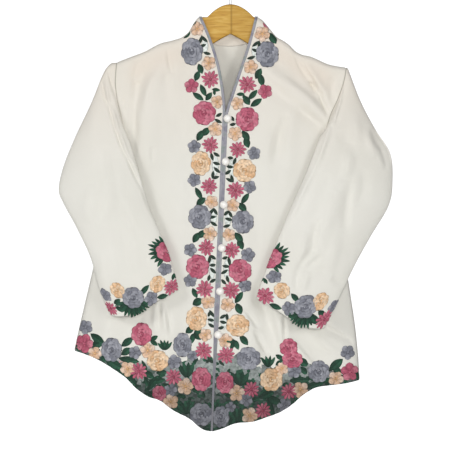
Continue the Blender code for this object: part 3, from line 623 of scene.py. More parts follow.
# %% Voile material
VOILE = "#E9E7E0"
VOILE_SHADE = "#DFDDD3"
VOILE_WARM = "#E6D8C8"
WRONG_SIDE = ((0.38, "#4E5F56"), (0.47, "#848F89"), (0.53, "#8B8C93"), (0.57, "#A97A86"),
              (0.63, "#C4AB92"))  # muted threads on the inside of dense embroidery
WRONG_SIDE_SCALE = 62.0  # patches of about 16 mm
WEAVE_PITCH = 1.6  # mm between drawn threads, against about 0.3 on real voile
SLUB_LENGTH, SLUB_WIDTH = 26.0, 1.2  # mm, thicker stretches of thread


def voile_material(name, light, shade):
    """Plain-woven cotton voile: matt, with a light nap that brightens at grazing angles."""
    made, tree, shader = new_material(name, Roughness=0.88, Sheen_Weight=0.18, Sheen_Roughness=0.45)
    place = placed(tree)
    ground = blend(tree, noise(tree, place["Object"], 9.0, detail=3.0), light, shade)
    warmed = blend(tree, attribute(tree, "warmth")["Fac"], ground, VOILE_WARM)
    patches = noise(tree, place["Object"], WRONG_SIDE_SCALE, detail=1.5)
    wrong_side = colour_ramp(tree, patches, WRONG_SIDE)
    embroidered = blend(tree, attribute(tree, "worked")["Fac"], warmed, wrong_side)
    across, along = (ridges(tree, place["UV"], WEAVE_PITCH, way, distortion=0.6, detail=1.0)
                     for way in "XY")
    weave = add_node(tree, "ShaderNodeMath", [(0, across), (1, along)], operation="MAXIMUM")
    slubs = noise(tree, stretch(tree, place["UV"], (1 / SLUB_WIDTH, 1 / SLUB_LENGTH, 1)), 1.0)
    relief = add_node(tree, "ShaderNodeMath", [(0, weave.outputs[0]), (1, slubs)], operation="ADD")
    dress(tree, shader, embroidered, relief.outputs[0], strength=0.12, distance=0.0004)
    return made


voile = voile_material("cotton_voile", VOILE, VOILE_SHADE)
print("voile:", len(voile.node_tree.nodes), "nodes, threads drawn", WEAVE_PITCH, "mm apart")

# %% [markdown]
# ## Fronts, back and neck facing
# Each panel is a fine grid with a thin wall from Solidify, so that its edges at the neck and hem
# show a real thickness. How near each point lies to the hanger's arm is kept as an attribute,
# which the voile reads as warmth.

# %% Panels
UPPER_WARMTH, UPPER_Z, UPPER_FADE = 0.32, -300.0, 120.0  # the shoulders are warmer than the hem
ARM_BELOW = 26.0  # mm from the shoulder line down to the middle of the wood that shows through
ARM_WARMTH, ARM_SPREAD = 0.3, 24.0
HANGER_REACH, REACH_FADE = 196.0, 30.0
INSIDE_WARMTH = 0.35  # share of the warmth on the back, which looks cooler through the V
WORKED_FROM_Z, WORKED_FADE = -738.0, 14.0  # below this the fronts are embroidered all over
WORKED_LEAN, WORKED_LEAN_FROM = 0.18, 20.0  # and from higher up towards the right side seam


def upper_warmth(points):
    return UPPER_WARMTH * ease(0.5 + (points[..., 2] - UPPER_Z) / UPPER_FADE / 2)


def wood_warmth(points):
    """A bell across the arm, fading out past the wood's end and below it."""
    x, z = points[..., 0], points[..., 2]
    off = (shoulder_z(x) - z - ARM_BELOW) / ARM_SPREAD
    return ARM_WARMTH * np.exp(-(off**2)) * ease((HANGER_REACH - np.abs(x)) / REACH_FADE)


def wall(piece):
    """Give a sheet its thickness, half to each side."""
    made = piece.modifiers.new("wall", "SOLIDIFY")
    made.thickness = CLOTH * MM
    made.offset = 0
    return piece


def cut_size(points, ring=False):
    """The flat cut of a grid: its widest row, its longest column and its area, in metres."""
    closed = np.concatenate([points, points[:, :1]], 1) if ring else points
    across, down = np.diff(closed, axis=1), np.diff(closed, axis=0)
    width = np.linalg.norm(across, axis=-1).sum(1).max() * MM
    length = np.linalg.norm(down, axis=-1).sum(0).max() * MM
    first = np.linalg.norm(np.cross(across[:-1], down[:, :-1]), axis=-1) / 2
    second = np.linalg.norm(np.cross(across[1:], down[:, 1:]), axis=-1) / 2
    return (width, length), (first.sum() + second.sum()) * MM * MM


def cloth_panel(name, points, replaced, warmth=None, worked=None):
    """A panel of voile, with how warm and how densely embroidered it is at each point."""
    warm = wood_warmth(points) + upper_warmth(points) if warmth is None else warmth
    worked = 0 * warm if worked is None else worked
    mesh = grid_mesh(name, points, uv=measured_uv(points),
                     attributes=[("warmth", warm), ("worked", worked)])
    piece = wall(finish_piece(name, mesh, voile, replaced))
    (width, length), area = cut_size(points)
    print(f"{name}: cut {width:.3f} x {length:.3f} m, {area:.4f} m2")
    return piece


fronts, front_grids = {}, {}
even = np.linspace(0, 1, FRONT_ACROSS)
for side, word in WORD.items():
    grid = front_points(side, even, shares_down(FRONT_DOWN))
    front_grids[side] = grid
    higher = WORKED_LEAN * np.maximum(-grid[..., 0] - WORKED_LEAN_FROM, 0)
    worked = ease((WORKED_FROM_Z + higher - grid[..., 2]) / WORKED_FADE)
    fronts[side] = cloth_panel(f"front_{word}_cloth", grid, (f"front_{word}",), worked=worked)

back_grid = back_points(np.linspace(0, 1, BACK_ACROSS), shares_down(BACK_DOWN))
inside_warm = INSIDE_WARMTH * (wood_warmth(back_grid) + upper_warmth(back_grid))
back_cloth = cloth_panel("back_cloth", back_grid, ("back",), inside_warm)

# %% Neck facing
FACING_LOW_Z = -150.5  # its lower edge in the middle
FACING_SMILE = 0.0045  # how fast that edge rises to the sides
FACING_INSET, FACING_OFF = 4.0, 0.3
FACING_WARMTH = 0.5
FACING_ACROSS, FACING_DOWN = 60, 16


def facing_points(lift, rows):
    """The back panel's own surface from the neckline to a shallow curve, moved by lift along y."""
    x = np.linspace(NECK_RIGHT_X + FACING_INSET, NECK_LEFT_X - FACING_INSET, FACING_ACROSS)
    top, low = back_neck_z(x), FACING_LOW_Z + FACING_SMILE * (x - x.mean()) ** 2
    z = top + (low - top) * np.linspace(0, 1, rows)[:, None]
    x = np.broadcast_to(x, z.shape)
    return on_wall(back_y, x, z, lift)


grid = facing_points(-(CLOTH + SEAM_GAP + FACING_OFF), FACING_DOWN)
warm = np.full(grid.shape[:2], FACING_WARMTH)
facing = cloth_panel("back_neck_facing_cloth", grid, ("back_neck_facing",), warm)

# %% [markdown]
# ## Sleeves
# A sleeve is one tube. At its top it follows the armhole, and below that it settles into flat
# sections that lie in front of the body: a bulged front wall from the outer edge to the fold, and
# a back wall that returns along a parabola. The parameter along the sleeve eases from the first
# shape to the second, and the angle round it runs from the shoulder's tip (0) by the fold (180)
# and the underarm (240) back to the tip (360).

# %% Sleeve tables
SLEEVE_COLUMNS = "outer_x outer_z outer_y fold_x fold_z fold_y front out drop back behind"
SLEEVE_RIGHT = table(
    SLEEVE_COLUMNS,
    (-205, -180.5, 0, -193, -300, -16, 6, 36, 126, 2, 14),
    (-231.5, -206, -2, -187, -305, -27, 10, 36, 116, -1, 14),
    (-254.5, -261, -4, -180, -322, -33, 13, 34, 93, 1, 12),
    (-280.5, -317, -6, -172, -350, -37, 15, 32, 66, 3, 9),
    (-300.5, -368, -9, -163, -379, -39, 17, 27, 37, 5, 5),
    (-308.5, -408, -12, -154, -412, -42, 18, 13, 15, 8, 2),
    (-300, -433, -16, -145.5, -440, -44, 18, 2, 4, 9, 0),
    (-275.5, -478, -22, -131, -474, -46, 17, 0, 0, 10, 0),
    (-251, -530, -30, -115.5, -512, -48, 15, 0, 0, 10, 0),
    (-236, -582, -36, -101.5, -552, -50, 13, 0, 0, 9, 0),
    (-215, -633, -41, -93, -588, -51, 12, 0, 0, 9, 0),
)
SLEEVE_LEFT = table(
    SLEEVE_COLUMNS,
    (209, -190, 0, 174, -300, -17, 6, 33, 124, 2, 14),
    (222, -222, -2, 167, -303, -28, 10, 38, 113, -1, 14),
    (238, -260, -4, 160, -315, -34, 13, 42, 97, 1, 12),
    (262, -303, -6, 150, -341, -38, 15, 35, 73, 3, 9),
    (287, -344, -9, 137.5, -374, -41, 17, 28, 43, 5, 5),
    (291, -392, -12, 126.5, -400, -43, 18, 14, 22, 8, 2),
    (284, -437, -16, 111, -434, -45, 18, 5, 7, 9, 0),
    (251, -493, -22, 90, -484, -47, 17, 0, 0, 10, 0),
    (221, -547, -30, 71.5, -531, -49, 15, 0, 0, 10, 0),
    (195, -602, -37, 56.5, -571, -51, 13, 0, 0, 9, 0),
    (168, -656, -42, 46, -603, -52, 12, 0, 0, 9, 0),
)
ARMHOLE_SHARE = 0.3  # of the sleeve's length, over which the armhole's loop flattens
UNDERARM_ANGLE, PRESSED_ANGLE = 240.0, 245.0
CLEAR, CLEAR_SHARE, CLEAR_SLOPE = 4.0, 0.05, 1.5
STRAIGHT_DROP = 40.0
CUFF_DROOP, CUFF_DROOP_SHARE = 22.0, 0.3
SLEEVE_CAP = {-1: 8.0, 1: 2.0}  # how far the cap's fullness stands out past the shoulder's tip
CAP_SHARE, CAP_SPREAD, CAP_START = 0.045, 0.11, 0.02
ARMHOLE_FOLD_SHARE = 0.59  # of the armhole's height, from the tip to where the fold starts
ARMHOLE_OUT = 2 * SEAM_GAP + 0.6  # the sleeve's ring stands this far outside the panels' edges

# %% Creases of the sleeves
SLEEVE_FRONT_CREASES = (
    (-232, -208, -220, -262, 1, 3, 7, -3.4), (-223, -246, -207, -300, -1, 3, 7, -3.6),
    (-211, -286, -186, -352, 1, 3, 7, -3.6), (-190, -340, -156, -412, 1, 3, 7, -3.4),
    (-160, -404, -134, -462, 1, 3, 6, -2.6), (-226, -212, -213, -270, 1, 5, 3, 3.0),
    (-215, -258, -200, -306, -1, 5, 3, 3.2), (-204, -290, -176, -362, 1, 5, 3, 3.0),
    (-180, -346, -148, -418, 1, 5, 3, 2.8), (-220, -194, -206, -246, 1, 2.5, 4, -2.2),
    (-196, -268, -185, -300, 2, 3, 4, -2.4), (-240, -250, -246, -330, 5, 16, 12, 1.6),
    (-226, -330, -216, -396, 4, 14, 11, -1.8), (-214, -390, -236, -470, -5, 12, 15, -3.0),
    (-200, -354, -190, -456, 5, 14, 12, 2.0), (-250, -400, -256, -470, 4, 12, 10, 1.6),
    (-184, -420, -160, -500, 3, 10, 12, 1.6), (-174, -480, -172, -560, 2, 12, 12, -1.6),
    (-206, -478, -196, -560, 5, 12, 12, -1.4), (-232, -520, -222, -590, 3, 9, 8, 1.4),
    (198, -194, 190, -246, 1, 3, 5, -3.2), (192, -236, 176, -284, -1, 3, 5, -3.2),
    (205, -198, 196, -258, 1, 5, 3, 2.8), (198, -246, 182, -296, 0, 5, 3, 2.8),
    (178, -290, 150, -372, -2, 4, 5, 2.6), (156, -360, 104, -470, 2, 4, 5, 2.6),
    (170, -274, 196, -286, 2, 6, 7, -1.6), (254, -300, 270, -338, 2, 5, 26, -3.0),
    (266, -324, 281, -372, -1, 5, 22, -3.0), (243, -296, 262, -350, 2, 9, 8, 2.0),
    (226, -270, 236, -330, 4, 12, 10, 1.4), (200, -300, 222, -352, 4, 14, 12, -1.8),
    (210, -326, 204, -392, -5, 12, 9, 2.0), (218, -388, 206, -490, 4, 10, 8, -3.0),
    (238, -372, 226, -440, -5, 10, 12, -1.8), (192, -410, 160, -520, 4, 10, 14, 2.0),
    (176, -380, 140, -470, -3, 11, 10, -1.4), (156, -462, 147, -522, 2, 8, 6, -2.6),
    (150, -510, 118, -560, 3, 6, 7, -2.8), (119, -548, 118, -594, 1, 6, 6, -2.0),
    (131, -484, 126, -545, -2, 9, 8, 2.2), (166, -526, 128, -560, 2, 6, 7, -2.0),
    (180, -566, 208, -578, 2, 7, 7, -2.2), (140, -556, 130, -590, 2, 6, 6, 1.8),
    (190, -480, 172, -560, -4, 12, 10, 1.8),
)
SLEEVE_BACK_CREASES = (
    (-222, -206, -208, -300, 4, 6, 9, -3.0), (-236, -236, -214, -330, -3, 9, 7, 2.6),
    (-250, -290, -240, -370, 4, 11, 9, -2.2), (-270, -340, -258, -420, -4, 9, 12, 2.4),
    (-226, -390, -232, -460, 3, 12, 9, -2.4), (-200, -430, -186, -510, -4, 10, 12, 2.0),
    (-178, -470, -160, -560, 4, 10, 10, -1.8), (-216, -500, -206, -580, 3, 9, 11, 1.8),
    (218, -216, 196, -300, 4, 6, 9, -3.0), (234, -246, 206, -330, -3, 9, 7, 2.6),
    (250, -300, 236, -372, 4, 10, 9, -2.4), (262, -340, 252, -420, -4, 9, 12, 2.2),
    (220, -390, 206, -470, 3, 12, 9, -2.4), (190, -430, 166, -520, -4, 10, 12, 2.2),
    (160, -470, 134, -560, 4, 10, 10, -2.0), (196, -510, 178, -590, 3, 9, 11, 1.8),
)
SLEEVE_EDGE_ANGLE = 16.0  # creases flatten this near the outer edge and the fold
SLEEVE_TOP_SHARE = 0.06  # and this near the armhole
BACK_CREASE_ANGLE, BACK_CREASE_FADE = 220.0, 30.0  # where the back wall's creases start and end


# %% The sleeve's formula
def armhole_ring(angle, side):
    """The sleeve's first ring, just outside the panels' armhole edges."""
    tip_z = SHOULDER_TIP[side][1]
    fold_z = tip_z - (tip_z - UNDERARM_Z) * ARMHOLE_FOLD_SHARE
    shut = (1 - np.cos(np.radians(np.minimum(angle, 180)))) / 2
    below = np.clip((angle - 180) / (UNDERARM_ANGLE - 180), 0, 1)
    down = tip_z - (tip_z - fold_z) * shut - (fold_z - UNDERARM_Z) * below
    up = np.clip((angle - UNDERARM_ANGLE) / (360 - UNDERARM_ANGLE), 0, 1)
    rise = (1 - np.cos(math.pi * up)) / 2
    on_front = angle <= UNDERARM_ANGLE
    z = np.where(on_front, down, UNDERARM_Z + (tip_z - UNDERARM_Z) * rise)
    x = read(z, ARMHOLE, WORD[side])
    y = np.where(on_front, front_y(x, z), back_y(x, z))
    y = y * ease((tip_z - z) / 2)
    return np.stack([x + side * ARMHOLE_OUT, y, z], -1)


def flat_sections(share, angle, rows):
    """Front wall: outer + (fold - outer) (1 - cos a)/2 + bulge sin a. Back wall: a parabola from
    the fold through the underarm's point, a third of the way, to the outer edge."""
    row = {name: through(share, np.linspace(0, 1, len(values)), values)
           for name, values in rows.items()}
    outer = np.stack([row["outer_x"], row["outer_y"], row["outer_z"]], -1)
    fold = np.stack([row["fold_x"], row["fold_y"], row["fold_z"]], -1)
    outward = np.sign(outer[..., :1])
    shift = np.stack([row["out"] * outward[..., 0], row["back"], -row["drop"]], -1)
    under = fold + (outer - fold) / 3 + shift
    bulge = np.sin(np.radians(np.minimum(angle, 180)))[..., None]
    along = (1 - np.cos(np.radians(np.minimum(angle, 180))))[..., None] / 2
    near_cuff = ease(1 - (1 - share) / CUFF_DROOP_SHARE)
    droop = CUFF_DROOP * near_cuff * (1 - along[..., 0]) * bulge[..., 0]
    out = np.stack([0 * droop, -row["front"] + 0 * droop, -droop], -1)
    front_wall = outer + (fold - outer) * along + out * bulge
    t = np.clip((angle - 180) / 180, 0, 1)[..., None]
    middle = (9 * under - 4 * fold - outer) / 4
    back_wall = fold * (1 - t) ** 2 + middle * 2 * t * (1 - t) + outer * t**2
    straight = np.clip(row["drop"] / STRAIGHT_DROP, 0, 1)[..., None] * (t < 1 / 3)
    back_wall = back_wall + (fold + (under - fold) * 3 * t - back_wall) * straight
    past_under = np.sin(math.pi * np.clip(1.5 * t[..., 0] - 0.5, 0, 1)) ** 2
    back_wall[..., 1] += row["behind"] * past_under
    return np.where(angle[..., None] <= 180, front_wall, back_wall)


def sleeve_points(share, angle, side):
    """The wall of one sleeve at each share of its length and each angle round it, in degrees."""
    share, angle = np.broadcast_arrays(share, angle)
    flat = flat_sections(share, angle, SLEEVE_RIGHT if side < 0 else SLEEVE_LEFT)
    left = 1 - np.minimum(share / ARMHOLE_SHARE, 1)[..., None]
    blend = 1 - left**2
    points = armhole_ring(angle, side) * (1 - blend) + flat * blend
    cap = SLEEVE_CAP[side] * np.exp(-(((share - CAP_SHARE) / CAP_SPREAD) ** 2))
    cap = cap * ease(share / CAP_START)
    points[..., 0] += side * cap * np.clip(np.cos(np.radians(angle)), 0, 1) ** 2
    x, z = points[..., 0], points[..., 2]
    from_edge = np.minimum(angle, np.abs(180 - angle)) / SLEEVE_EDGE_ANGLE
    settled = ease(share / SLEEVE_TOP_SHARE) * ease(from_edge)
    front_rise = creases(x, z, SLEEVE_FRONT_CREASES) * (angle <= 180)
    back_rise = creases(x, z, SLEEVE_BACK_CREASES) * (angle > BACK_CREASE_ANGLE)
    back_rise = back_rise * ease((360 - angle) / BACK_CREASE_FADE)
    points[..., 1] += (back_rise - front_rise) * settled
    y = points[..., 1]
    outside = np.maximum(side * (x - outer_edge_x(z, side)), 0)
    limit = front_y(x, z) - CLEAR * ease(share / CLEAR_SHARE) + CLEAR_SLOPE * outside
    pressed = (share > 0) & (angle < PRESSED_ANGLE)
    points[..., 1] = np.where(pressed, np.minimum(y, limit), y)
    return points


# %% Sleeves
SLEEVE_ALONG, SLEEVE_ROUND = 190, 132
FRONT_FINER = 1.8  # how much closer the points lie on the sleeve's front wall
ANGLE_SAMPLES = 1441
SLEEVE_WARMTH = 1.3


def even_angles(side, count):
    """Angles whose points lie evenly along each wall of the sleeve, and closer on the front one."""
    fine = np.linspace(0, 360, ANGLE_SAMPLES)
    middle = sleeve_points(np.array(0.5), fine, side)
    steps = np.linalg.norm(np.diff(middle, axis=0), axis=-1)
    steps = steps * np.where(fine[1:] <= 180, FRONT_FINER, 1)
    length = np.concatenate([[0], steps.cumsum()])
    return np.interp(np.linspace(0, length[-1], count + 1)[:-1], length, fine)


sleeves, sleeve_grids = {}, {}
for side, word in WORD.items():
    share = np.linspace(0, 1, SLEEVE_ALONG)[:, None]
    grid = sleeve_points(share, even_angles(side, SLEEVE_ROUND)[None], side)
    sleeve_grids[side] = grid
    name = f"sleeve_{word}_cloth"
    mesh = grid_mesh(name, grid, ring=True, uv=measured_uv(grid),
                     attributes=[("warmth", SLEEVE_WARMTH * upper_warmth(grid))])
    replaced = [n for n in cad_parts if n.startswith(f"sleeve_{word}_")]
    sleeves[side] = wall(finish_piece(name, mesh, voile, replaced))
    (width, length), area = cut_size(grid, ring=True)
    print(f"{name}: {width:.3f} m round, {length:.3f} m long, {area:.4f} m2")


# %% [markdown]
# ## Bindings
# Each front's inner edge and the back neck are bound with a narrow strip that the machine has
# covered in satin stitch, grey with a hint of lavender. It is a strip of the panel's own surface,
# lifted a little and crowned, with a ridge for every few stitches.

# %% Binding material and strips
BINDING_DRIFT = ((0.34, "#7F7E8B"), (0.5, "#97969F"), (0.66, "#848E8B"))  # lilac, grey, green
BINDING_PALE = "#77767D"
BINDING_WIDTH, BINDING_NARROW = 5.0, 2.2
BINDING_FROM_Z, BINDING_TO_Z = -600.0, -780.0  # between these it narrows
BINDING_CROWN, BINDING_SUNK = 0.7, 0.25
BINDING_RIDGE, RIDGE_ROWS = 0.16, 3  # a ridge on every third row of the grid
BINDING_OVER = 0.35  # mm past the front's edge, so that the two bindings touch
BINDING_LIFT = 0.45
BINDING_START = -0.5  # mm from the neck's point
BINDING_END = -0.6  # mm from the front's point, just past the hem
BINDING_ROWS, NECK_BINDING_ROWS, NECK_BINDING_INSET = 540, 160, 2.0
STITCH_PITCH = 2.2  # mm between drawn ridges


def binding_material():
    """Rayon satin stitch packed side by side: silky, with colour that drifts along the strip."""
    made, tree, shader = new_material("satin_stitched_binding", Roughness=0.5, Sheen_Weight=0.3)
    place = placed(tree)
    drift = colour_ramp(tree, noise(tree, place["Object"], 70.0, detail=2.0), BINDING_DRIFT)
    paler = blend(tree, attribute(tree, "narrowed")["Fac"], drift, BINDING_PALE)
    threads = ridges(tree, place["UV"], STITCH_PITCH, distortion=0.4)
    dress(tree, shader, paler, threads, strength=0.35, distance=0.0004)
    return made


binding_thread = binding_material()


def narrowed(z):
    """0 where the binding is wide, 1 where it is narrow."""
    return ease((BINDING_FROM_Z - z) / (BINDING_FROM_Z - BINDING_TO_Z))


def binding_width(z):
    return BINDING_WIDTH + (BINDING_NARROW - BINDING_WIDTH) * narrowed(z)


def strip_along(edge, inward, toward, columns=9):
    """A closed flat tube along an edge. Round it the angle gives share s = (1 - cos a)/2 across
    the strip, and height: the crown's half ellipse on top and a shallow one, sunk, below."""
    turn = np.linspace(0, 2 * math.pi, 2 * columns, endpoint=False)
    share = (1 - np.cos(turn)) / 2
    height = np.where(np.sin(turn) > 0, BINDING_CROWN, BINDING_SUNK) * np.sin(turn)
    width = binding_width(edge[:, 1])[:, None, None]
    points = edge[:, None] + inward[:, None] * share[None, :, None] * width
    ridge = 1 + BINDING_RIDGE * np.cos(2 * math.pi * np.arange(len(edge)) / RIDGE_ROWS)[:, None]
    return points, (height[None] * ridge + BINDING_LIFT) * toward


for side, word in WORD.items():
    z = np.linspace(NECK_Z + BINDING_START, FRONT_POINT_Z + BINDING_END, BINDING_ROWS)
    x = front_edge_x(z, side) - side * BINDING_OVER
    edge = np.stack([x, z], -1)
    run = np.gradient(edge, axis=0)
    run = run / np.linalg.norm(run, axis=-1, keepdims=True)
    inward = np.stack([-run[:, 1], run[:, 0]], -1) * side
    inward = inward * np.sign(inward[:, :1]) * side
    flat, lift = strip_along(edge, inward, -1)
    points = on_wall(front_y, flat[..., 0], flat[..., 1], lift)
    name = f"binding_{word}_stitched"
    mesh = grid_mesh(name, points[:, ::side], ring=True, caps=True, uv=measured_uv(points),
                     attributes=[("narrowed", narrowed(points[..., 2]))])
    finish_piece(name, mesh, binding_thread, (f"binding_{word}",))

x = np.linspace(NECK_RIGHT_X + NECK_BINDING_INSET, NECK_LEFT_X - NECK_BINDING_INSET,
                NECK_BINDING_ROWS)
edge = np.stack([x, back_neck_z(x)], -1)
flat, lift = strip_along(edge, np.tile([0.0, -1.0], (len(x), 1)), 1)
points = on_wall(back_y, flat[..., 0], flat[..., 1], lift)
mesh = grid_mesh("binding_back_neck_stitched", points, ring=True, caps=True, uv=measured_uv(points))
neck_binding = finish_piece("binding_back_neck_stitched", mesh, binding_thread,
                            ("binding_back_neck",))
print("bindings:", BINDING_WIDTH, "mm wide, stitches drawn", STITCH_PITCH, "mm apart")

# %% [markdown]
# ## Seams
# The sleeves are set in and the shoulders and sides are closed with narrow fells, folded double
# and stitched down. Each is a slim tube along the seam's line. Round the armholes the tube is
# painted darker than the single cloth, as the shadow of the step that its several layers make.

# %% Seams
FELL_RADIUS = 0.9
# The armhole's colours are painted shadow: voile darkened for the step of its layers.
FELL_PAINTED_SHADOW, FELL_PAINTED_SHADOW_DARK = "#BDB9AD", "#B1ADA1"  # the armhole's layers, with the step's shade
FELL_SIDES, SEAM_POINTS = 8, {"armhole": 260, "side": 160, "shoulder": 120}
SIDE_SEAM_ENDS = (-2.0, 1.0)  # mm from the underarm and the hem
SHOULDER_SEAM_ENDS, SHOULDER_SEAM_LIFT = (3.0, 2.0), 0.1  # mm from the neck and the tip


def tube(path, radius, sides=FELL_SIDES):
    """A ring of points round each point of a path, square to its run: centre + r (cos a n + sin a
    b), where n and b are two unit vectors square to the run."""
    run = np.gradient(path, axis=0)
    run = run / np.linalg.norm(run, axis=-1, keepdims=True)
    side_ways = np.cross(run, np.array([0.0, 1.0, 0.0]))
    side_ways = side_ways / np.maximum(np.linalg.norm(side_ways, axis=-1, keepdims=True), 1e-6)
    other = np.cross(run, side_ways)
    turn = np.linspace(0, 2 * math.pi, sides, endpoint=False)[None, :, None]
    radius = np.broadcast_to(radius, len(path))[:, None, None]
    around = side_ways[:, None] * np.cos(turn) + other[:, None] * np.sin(turn)
    return path[:, None] + radius * around


def seam(name, path, closed=False, cloth=voile):
    points = tube(path, FELL_RADIUS)
    if closed:
        points = np.concatenate([points, points[:1]])
    mesh = grid_mesh(name, points[:, ::-1], ring=True, caps=not closed, uv=measured_uv(points),
                     attributes=[("warmth", np.zeros(points.shape[:2]))])
    return finish_piece(name, mesh, cloth)


# Painted shadow: darker voile, for the armhole seams alone.
shadowed_fell = voile_material("cotton_voile_fell", FELL_PAINTED_SHADOW, FELL_PAINTED_SHADOW_DARK)
seams = []
for side, word in WORD.items():
    ring = armhole_ring(np.linspace(0, 360, SEAM_POINTS["armhole"], endpoint=False), side)
    ring[:, 0] -= side * ARMHOLE_OUT / 2
    seams.append(seam(f"armhole_seam_{word}", ring, closed=True, cloth=shadowed_fell))
    z = np.linspace(UNDERARM_Z + SIDE_SEAM_ENDS[0], HEM_CORNER_Z[side] + SIDE_SEAM_ENDS[1],
                    SEAM_POINTS["side"])
    seams.append(seam(f"side_seam_{word}", np.stack([side_x(z, side), 0 * z, z], -1)))
    from_neck, from_tip = (side * end for end in SHOULDER_SEAM_ENDS)
    x = np.linspace(front_edge_x(NECK_Z, side) + from_neck, SHOULDER_TIP[side][0] - from_tip,
                    SEAM_POINTS["shoulder"])
    path = np.stack([x, 0 * x, shoulder_z(x) + SHOULDER_SEAM_LIFT], -1)
    seams.append(seam(f"shoulder_seam_{word}", path))
print("seams:", len(seams))

# %% [markdown]
# ## Embroidery
# The flowers are machine embroidery in rayon thread. Each petal and leaf is a low mound of satin
# stitch, lying on the cloth and catching the light along its crest. So the whole design is made of
# one shape, a closed lens with a bow to it, repeated at many sizes: crescents turn into roses, rays
# into daisies, round lobes into blossoms and split lenses into leaves.

# %% Threads
THREADS = {  # dark, middle and light of each thread
    "pink": ("#A5475F", "#BF6279", "#D08494"),
    "grey": ("#6C6E79", "#878992", "#A5A6AF"),
    "peach": ("#D9A97C", "#E6C29C", "#F1D9BC"),
    "green": ("#0E2F22", "#1A4632", "#2C6148"),
    "sprig": ("#1B2A21", "#293F32", "#3B5747"),
    "ochre": ("#B9793A", "#CE9656", "#DFB27E"),
    "blush": ("#D6AF90", "#E2C1A6", "#EED8C6"),
    "ground": ("#323E3A", "#4D5955", "#6D7874"),
    "mist": ("#79817E", "#8E9693", "#A4AAA7"),
    "mint": ("#DCE5DE", "#E2E9E3", "#E7EDE8"),
}
STITCH_ROW = 2.0  # mm between drawn rows of stitches, against about 0.4 on real satin stitch
THREAD_VALUE = {"from_min": 0.3, "from_max": 0.7, "to_min": 0.72, "to_max": 1.22}  # its unevenness


def thread_material():
    """Rayon satin stitch: colour from the mesh, silky, ridged across every petal."""
    made, tree, shader = new_material("rayon_satin_stitch", Roughness=0.6, Sheen_Weight=0.05,
                                      Specular_IOR_Level=0.3)
    place = placed(tree)
    uneven = noise(tree, place["Object"], 1000 / STITCH_ROW / 2, detail=2.0)
    span = add_node(tree, "ShaderNodeMapRange", [("value", uneven)], **THREAD_VALUE)
    varied = add_node(tree, "ShaderNodeHueSaturation",
                      [("color", attribute(tree, "thread")["Color"]), ("value", span.outputs[0])])
    rows = ridges(tree, place["UV"], STITCH_ROW, distortion=0.8)
    dress(tree, shader, varied.outputs[0], rows, strength=0.4, distance=0.0004)
    return made


rayon = thread_material()

# %% [markdown]
# ### Petals
# A petal is a row of numbers: its motif's place and size, its own start and direction inside the
# motif, its length, width and bow, how high it stands, and its two colours.

# %% Petals as rows
PETAL_RINGS, PETAL_ROUND = 7, 8
PETAL_POINT = 0.75  # below 1, the ends are blunter than a sine's
PETAL_SUNK = 0.35  # mm that a petal's underside sinks into the cloth
# Painted shade: the thread is darkened towards a petal's sides, where its mound turns down.
EDGE_SHADE = 0.16  # how much darker the thread is where it turns down at a petal's side


def petal(place, start, turn, length, width, base, tip, bow=0.0, full=0.5, rise=0.7, layer=0.3):
    """place is the motif's (x, z, x size, z size). start, length, width and bow are shares of that
    size. turn is in degrees from +X up, and full is where along it the petal is widest."""
    numbers = (*place, *start, turn, length, width, bow, full, rise, layer)
    return (*numbers, *linear(base), *linear(tip))


def polar(radius, degrees):
    """x and z of a point at that distance and angle, counted from +X up."""
    return radius * math.cos(math.radians(degrees)), radius * math.sin(math.radians(degrees))


def centred(x, z, turn, length, width, base, tip, **more):
    """A petal measured in millimetres, with its middle at (x, z)."""
    return petal((x, z, 1, 1), polar(-length / 2, turn), turn, length, width, base, tip, **more)


def lens_faces():
    """Faces of one lens: two poles and PETAL_RINGS rings of PETAL_ROUND points between them."""
    ring = 1 + np.arange(PETAL_RINGS * PETAL_ROUND).reshape(PETAL_RINGS, PETAL_ROUND)
    after = np.roll(ring, -1, axis=1)
    quads = np.stack([ring[:-1], after[:-1], after[1:], ring[1:]], -1).reshape(-1, 4)
    first, last = 0 * ring[0], 0 * ring[0] + ring[-1, -1] + 1
    fans = np.concatenate([np.stack([first, after[0], ring[0]], -1),
                           np.stack([last, ring[-1], after[-1]], -1)])
    return quads, fans


def lay_out(petals):
    """Every petal's points on the flat, as offsets from its motif's centre, with their heights.

    Along the petal u runs from 0 to 1, and round it the angle a. The half width is
    w/2 sin(pi u^k)^0.75, with k set so that it is widest at `full`. A point stands at
    start + length u along the petal, and half width cos a - 4 bow u (1 - u) across it. Its height
    is rise sin a times the same sine, or a shallow sunk underside."""
    table = np.array(petals)
    centre, size, start = table[:, 0:2], table[:, 2:4], table[:, 4:6]
    turn, length, width, bow, full, rise, layer = table[:, 6:13].T[..., None]
    inner = np.linspace(0, 1, PETAL_RINGS + 2)[1:-1]
    round_it = np.linspace(0, 2 * math.pi, PETAL_ROUND, endpoint=False)
    u = np.concatenate([[0], np.repeat(inner, PETAL_ROUND), [1]])
    a = np.concatenate([[0], np.tile(round_it, PETAL_RINGS), [0]])
    swell = np.sin(math.pi * u ** (math.log(0.5) / np.log(full))).clip(0) ** PETAL_POINT
    along = length * u
    across = width / 2 * swell * np.cos(a) - bow * 4 * u * (1 - u)
    c, s = np.cos(np.radians(turn)), np.sin(np.radians(turn))
    offset = np.stack([along * c - across * s, along * s + across * c], -1) + start[:, None]
    height = np.where(np.sin(a) > 0, rise * np.sin(a) * swell, PETAL_SUNK * np.sin(a) * swell)
    # painted shade towards the petal's sides
    shade = 1 - EDGE_SHADE * np.abs(np.cos(a)) ** 3 * (swell > 0)
    base, tip = table[:, None, 13:16], table[:, None, 16:19]
    colour = (base + (tip - base) * u[:, None]) * shade[..., None]
    uv = np.stack([across, along], -1) * size.mean(1)[:, None, None]
    return centre, offset * size[:, None], CLOTH / 2 + layer + height, colour, uv


